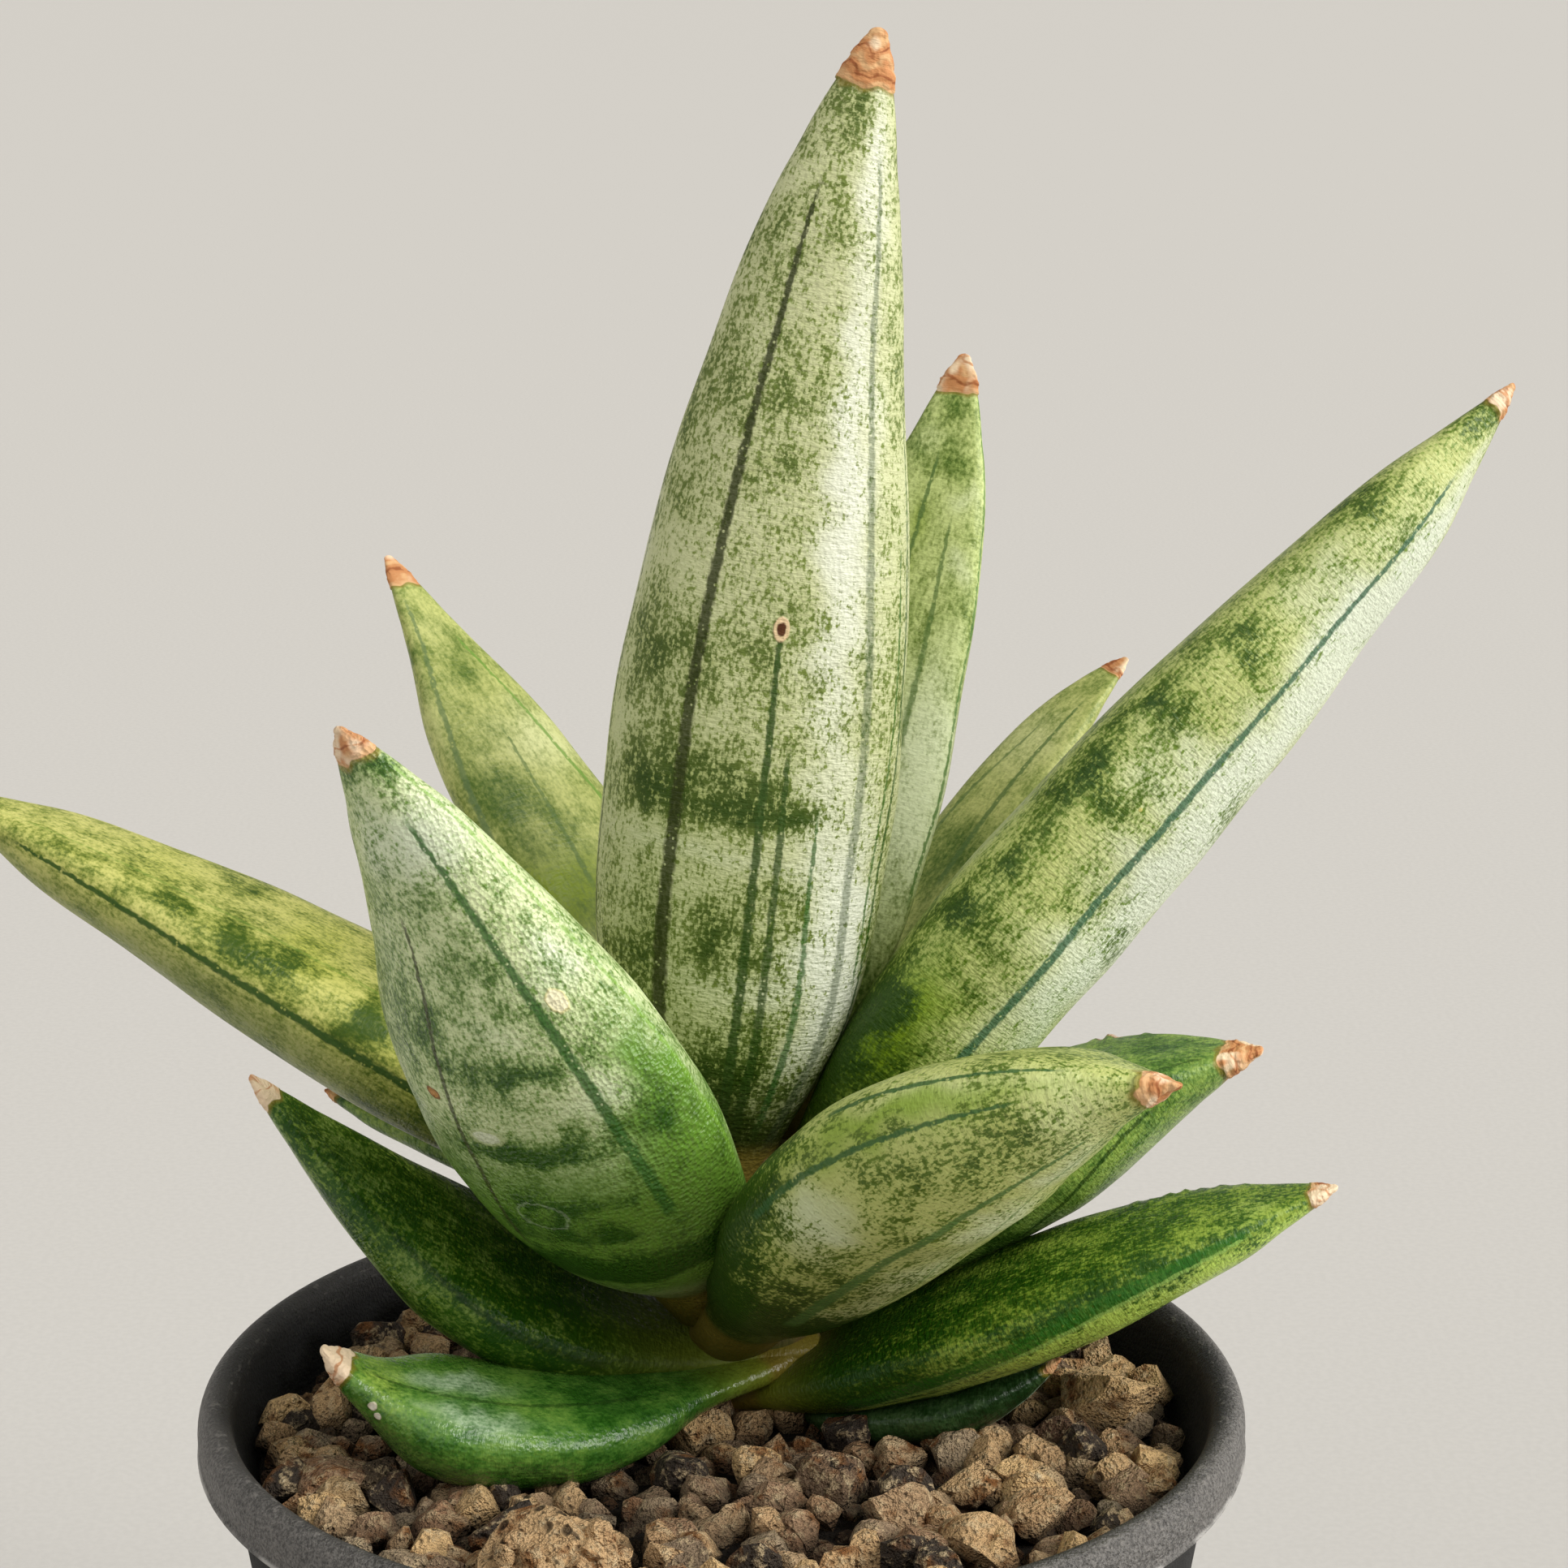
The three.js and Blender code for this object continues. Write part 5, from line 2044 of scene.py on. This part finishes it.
        grains = instances(at.geometry, at.grain_shapes, noted("turn"), noted("size"))
        disc = graph.put(
            "GeometryNodeMeshCircle", {"Vertices": 64, "Radius": at.reach}, fill_type="NGON"
        )
        spread = graph.put(
            "GeometryNodeDistributePointsOnFaces",
            {"Mesh": disc, "Distance Min": at.grit_spacing, "Density Max": 4e5, "Seed": at.seed},
            distribute_method="POISSON",
        )
        rise = at.top + drawn(at.lift * -1.0, at.lift)
        rise = graph.put("ShaderNodeCombineXYZ", {"Z": rise})
        moved = graph.put("GeometryNodeSetPosition", {"Geometry": spread, "Offset": rise})
        spin = graph.put(
            "FunctionNodeRandomValue",
            {1: (6.28, 6.28, 6.28), "Seed": at.seed},
            data_type="FLOAT_VECTOR",
        )
        size = drawn(*self.grit_grow) * at.grit_size
        grit = instances(moved, at.grit_shapes, spin, size)
        grit = graph.put(
            "GeometryNodeStoreNamedAttribute",
            {"Geometry": grit, "Name": "tint", "Value": drawn(*self.grit_tint)},
            data_type="FLOAT",
            domain="INSTANCE",
        )
        fill = graph.put("GeometryNodeObjectInfo", {"Object": at.fill}, "Geometry")
        joined = graph.put("GeometryNodeJoinGeometry", {})
        for part in (grains, grit, fill):
            graph.feed(joined.socket.node.inputs[0], part)
        real = graph.put("GeometryNodeRealizeInstances", {"Geometry": joined})
        inputs = {"Geometry": real, "Material": at.finish}
        dressed = graph.put("GeometryNodeSetMaterial", inputs)
        graph.feed(tree.nodes.new("NodeGroupOutput").inputs["Geometry"], dressed)
        return tree, ids

    def fill(self) -> bpy.types.Object:
        """Make the fill below the grains.

        Returns:
            Its object.
        """
        skirt, low = self.pot.skirt(), self.pot.floor
        foot, reach = (self.pot.inner_radius(height) for height in (low, skirt))
        profile = [
            (0, low + self.gap),
            (foot - self.gap, low + self.gap),
            (reach - self.gap, skirt),
            (reach - self.gap, self.fill_top),
            (reach / 2, self.fill_top + 0.5),
            (0, self.fill_top + 1),
        ]
        points, faces = lathe([(r * MM, z * MM) for r, z in profile], 64)
        return mesh_piece("gravel_fill", points, faces)

    def build(self) -> bpy.types.Object:
        """Build and dress the bed of gravel.

        Returns:
            The finished piece.
        """
        rows = np.array(self.grain_rows() + self.crumb_rows())
        tint = 0.1 + 0.9 * rows[:, 8]
        tint[: len(self.stones)] = [stone.tint for stone in self.stones]
        turn = np.stack([rows[:, 6], np.zeros(len(rows)), rows[:, 7]], 1)
        piece = mesh_piece("gravel_grains", rows[:, :3] * MM, [])
        keep(piece.data, "size", rows[:, 3:6] * MM * self.swell)
        keep(piece.data, "turn", turn)
        keep(piece.data, "tint", tint)
        grains = self.shapes("grain_shape", 14, 3)
        grit = self.shapes("grit_shape", 8, 2)
        fill = self.fill()
        reach = self.pot.inner_radius(self.pot.skirt()) - 1.5
        inputs = {
            "Fill": fill,
            "Grain Shapes": grains,
            "Grit Shapes": grit,
            "Reach": reach * MM,
            "Top": (self.fill_top + 1.2) * MM,
            "Grit Spacing": self.grit_spacing * MM,
            "Grit Size": self.grit_size * MM,
            "Lift": self.grit_lift * MM,
            "Seed": self.grit_seed,
            "Finish": PorousGrit().make(self.fill_top * MM, self.spongy_tint),
        }
        scatter = piece.modifiers.new("scatter", "NODES")
        scatter.node_group, ids = self.scatter_tree()
        for name, value in inputs.items():
            scatter[ids[name]] = value
        settle(piece)
        for group in (grains, grit):
            for shape in list(group.objects):
                bpy.data.objects.remove(shape)
            bpy.data.collections.remove(group)
        bpy.data.objects.remove(fill)
        return piece


@dataclass(frozen=True)
class DrySheaths:
    """The stem's finish: dry brown sheaths, with fibres along it."""

    dark: str = "#3a2810"
    light: str = "#735328"
    green: str = "#585c18"

    def make(self) -> bpy.types.Material:
        """Lay the finish out.

        Returns:
            The material.
        """
        made, graph = new_material("dry_sheaths")
        place = graph.place()
        fibre = graph.clouds(graph.scaled(place, (1.0, 1.0, 0.12)), 1500.0, 3.0, 0.6)
        wide = graph.clouds(place, 220.0, 2.0)
        brown = graph.mix(graph.ramp(fibre, 0.35, 0.65), self.dark, self.light)
        colour = graph.mix(graph.ramp(wide, 0.36, 0.56), brown, self.green)
        dress(graph, Base_Color=colour, Roughness=0.7, Normal=graph.bump(fibre, 0.6, 0.0004))
        return made


@dataclass
class Stem:
    """The short crown that the leaves grow from, in dry sheaths, in mm."""

    x: float = 3.5
    y: float = 8
    outline: tuple[Row, ...] = ((5.4, 58), (5.4, 82.6), (6.6, 94), (4, 107))
    lean: float = 5
    lean_from: float = 82.6
    lean_run: float = 26.4
    rings: int = 90
    sheath_step: float = 0.3
    sheaths: float = 0.42
    sides: int = 64

    def build(self) -> bpy.types.Object:
        """Build and dress the stem.

        Returns:
            The finished piece.
        """
        radii, heights = zip(*self.outline)
        foot, top = heights[0], heights[-1]
        rows = np.linspace(foot, top, self.rings)
        scale = self.sheath_step * ((rows * self.sheaths) % 1.0 - 0.5)
        wall = zip(np.interp(rows, heights, radii) + scale, rows)
        points, faces = lathe([(0.0, foot), *wall, (0.0, top)], self.sides)
        rise = np.maximum(points[:, 2] - self.lean_from, 0) / self.lean_run
        points[:, 1] += self.lean * rise
        points += (self.x, self.y, 0)
        return mesh_piece("stem_crown", points * MM, faces, DrySheaths().make())


@dataclass(frozen=True)
class PaleFloor:
    """The floor's finish: plain, pale and dull."""

    dark: str = "#c9c6c1"
    light: str = "#cdcac5"

    def make(self) -> bpy.types.Material:
        """Lay the finish out.

        Returns:
            The material.
        """
        made, graph = new_material("pale_floor")
        tone = graph.ramp(graph.clouds(graph.place(), 900.0, 2.0), 0.3, 0.7)
        colour = graph.mix(tone, self.dark, self.light)
        dress(graph, Base_Color=colour, Roughness=0.9, Specular_IOR_Level=0.2)
        return made


@dataclass(frozen=True)
class Lamp:
    """A soft, distant lamp: the way towards it, its width in degrees, its power."""

    name: str
    towards: Spot
    width: float
    power: float
    colour: Spot


@dataclass
class Studio:
    """The floor, the lamps, the sky and the camera."""

    place: Spot = (0.0059, -0.3209, 0.2278)
    pitch: float = 14.2
    focal: float = 4432.0
    frame: float = 1932.0
    sensor: float = 36.0
    floor_half: float = 20.0
    sky: float = 0.28
    sky_colour: Colour = (1.0, 0.985, 0.96, 1.0)
    lamps: tuple[Lamp, ...] = (
        Lamp("key", (0.8, -0.35, 0.75), 40.0, 2.8, (1.0, 0.985, 0.95)),
        Lamp("side", (1.0, 0.08, 0.12), 32.0, 1.5, (1.0, 0.99, 0.97)),
        Lamp("fill", (-0.5, -0.45, 0.9), 70.0, 0.75, (1.0, 0.99, 0.96)),
    )

    def build(self) -> None:
        """Build the studio."""
        bpy.context.scene.view_settings.view_transform = "Standard"
        self.build_floor()
        self.build_lamps()
        self.build_sky()
        self.build_camera()

    def build_floor(self) -> None:
        """Lay a plain pale floor."""
        half = self.floor_half
        corners = [(-half, -half, 0), (half, -half, 0), (half, half, 0), (-half, half, 0)]
        finish = PaleFloor().make()
        floor = mesh_piece("studio_floor", np.array(corners), [(0, 1, 2, 3)], finish, False)

    def build_lamps(self) -> None:
        """Hang the lamps."""
        for lamp in self.lamps:
            data = bpy.data.lights.new(lamp.name, "SUN")
            data.angle = math.radians(lamp.width)
            data.energy = lamp.power
            data.color = lamp.colour
            made = new_object(lamp.name, data)
            made.rotation_euler = Vector(lamp.towards).to_track_quat("Z", "Y").to_euler()

    def build_sky(self) -> None:
        """Set an even, pale light from all round."""
        world = bpy.data.worlds.new("studio_sky")
        world.use_nodes = True
        light = world.node_tree.nodes["Background"]
        light.inputs["Color"].default_value = self.sky_colour
        light.inputs["Strength"].default_value = self.sky
        bpy.context.scene.world = world

    def build_camera(self) -> None:
        """Set the camera where the photograph was taken from."""
        data = bpy.data.cameras.new("camera")
        data.sensor_width = self.sensor
        data.lens = self.focal / self.frame * self.sensor
        data.clip_start = 0.01
        made = new_object("camera", data)
        made.location = self.place
        made.rotation_euler = (math.radians(90 - self.pitch), 0, 0)
        bpy.context.scene.camera = made


def main() -> None:
    """Build the whole scene."""
    logging.basicConfig(level=logging.INFO, format="%(name)s %(message)s")
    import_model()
    Studio().build()
    pot = Pot()
    placed(pot.build(), "pot_plastic", "pot")
    placed(Gravel(pot).build(), "gravel", "gravel_bed")
    placed(Stem().build(), "stem", "stem")
    builder = LeafBuilder(SharedGroups())
    for leaf in LEAVES:
        placed(builder.build(leaf), leaf.skin.slot, leaf.name)


if __name__ == "__main__":
    main()
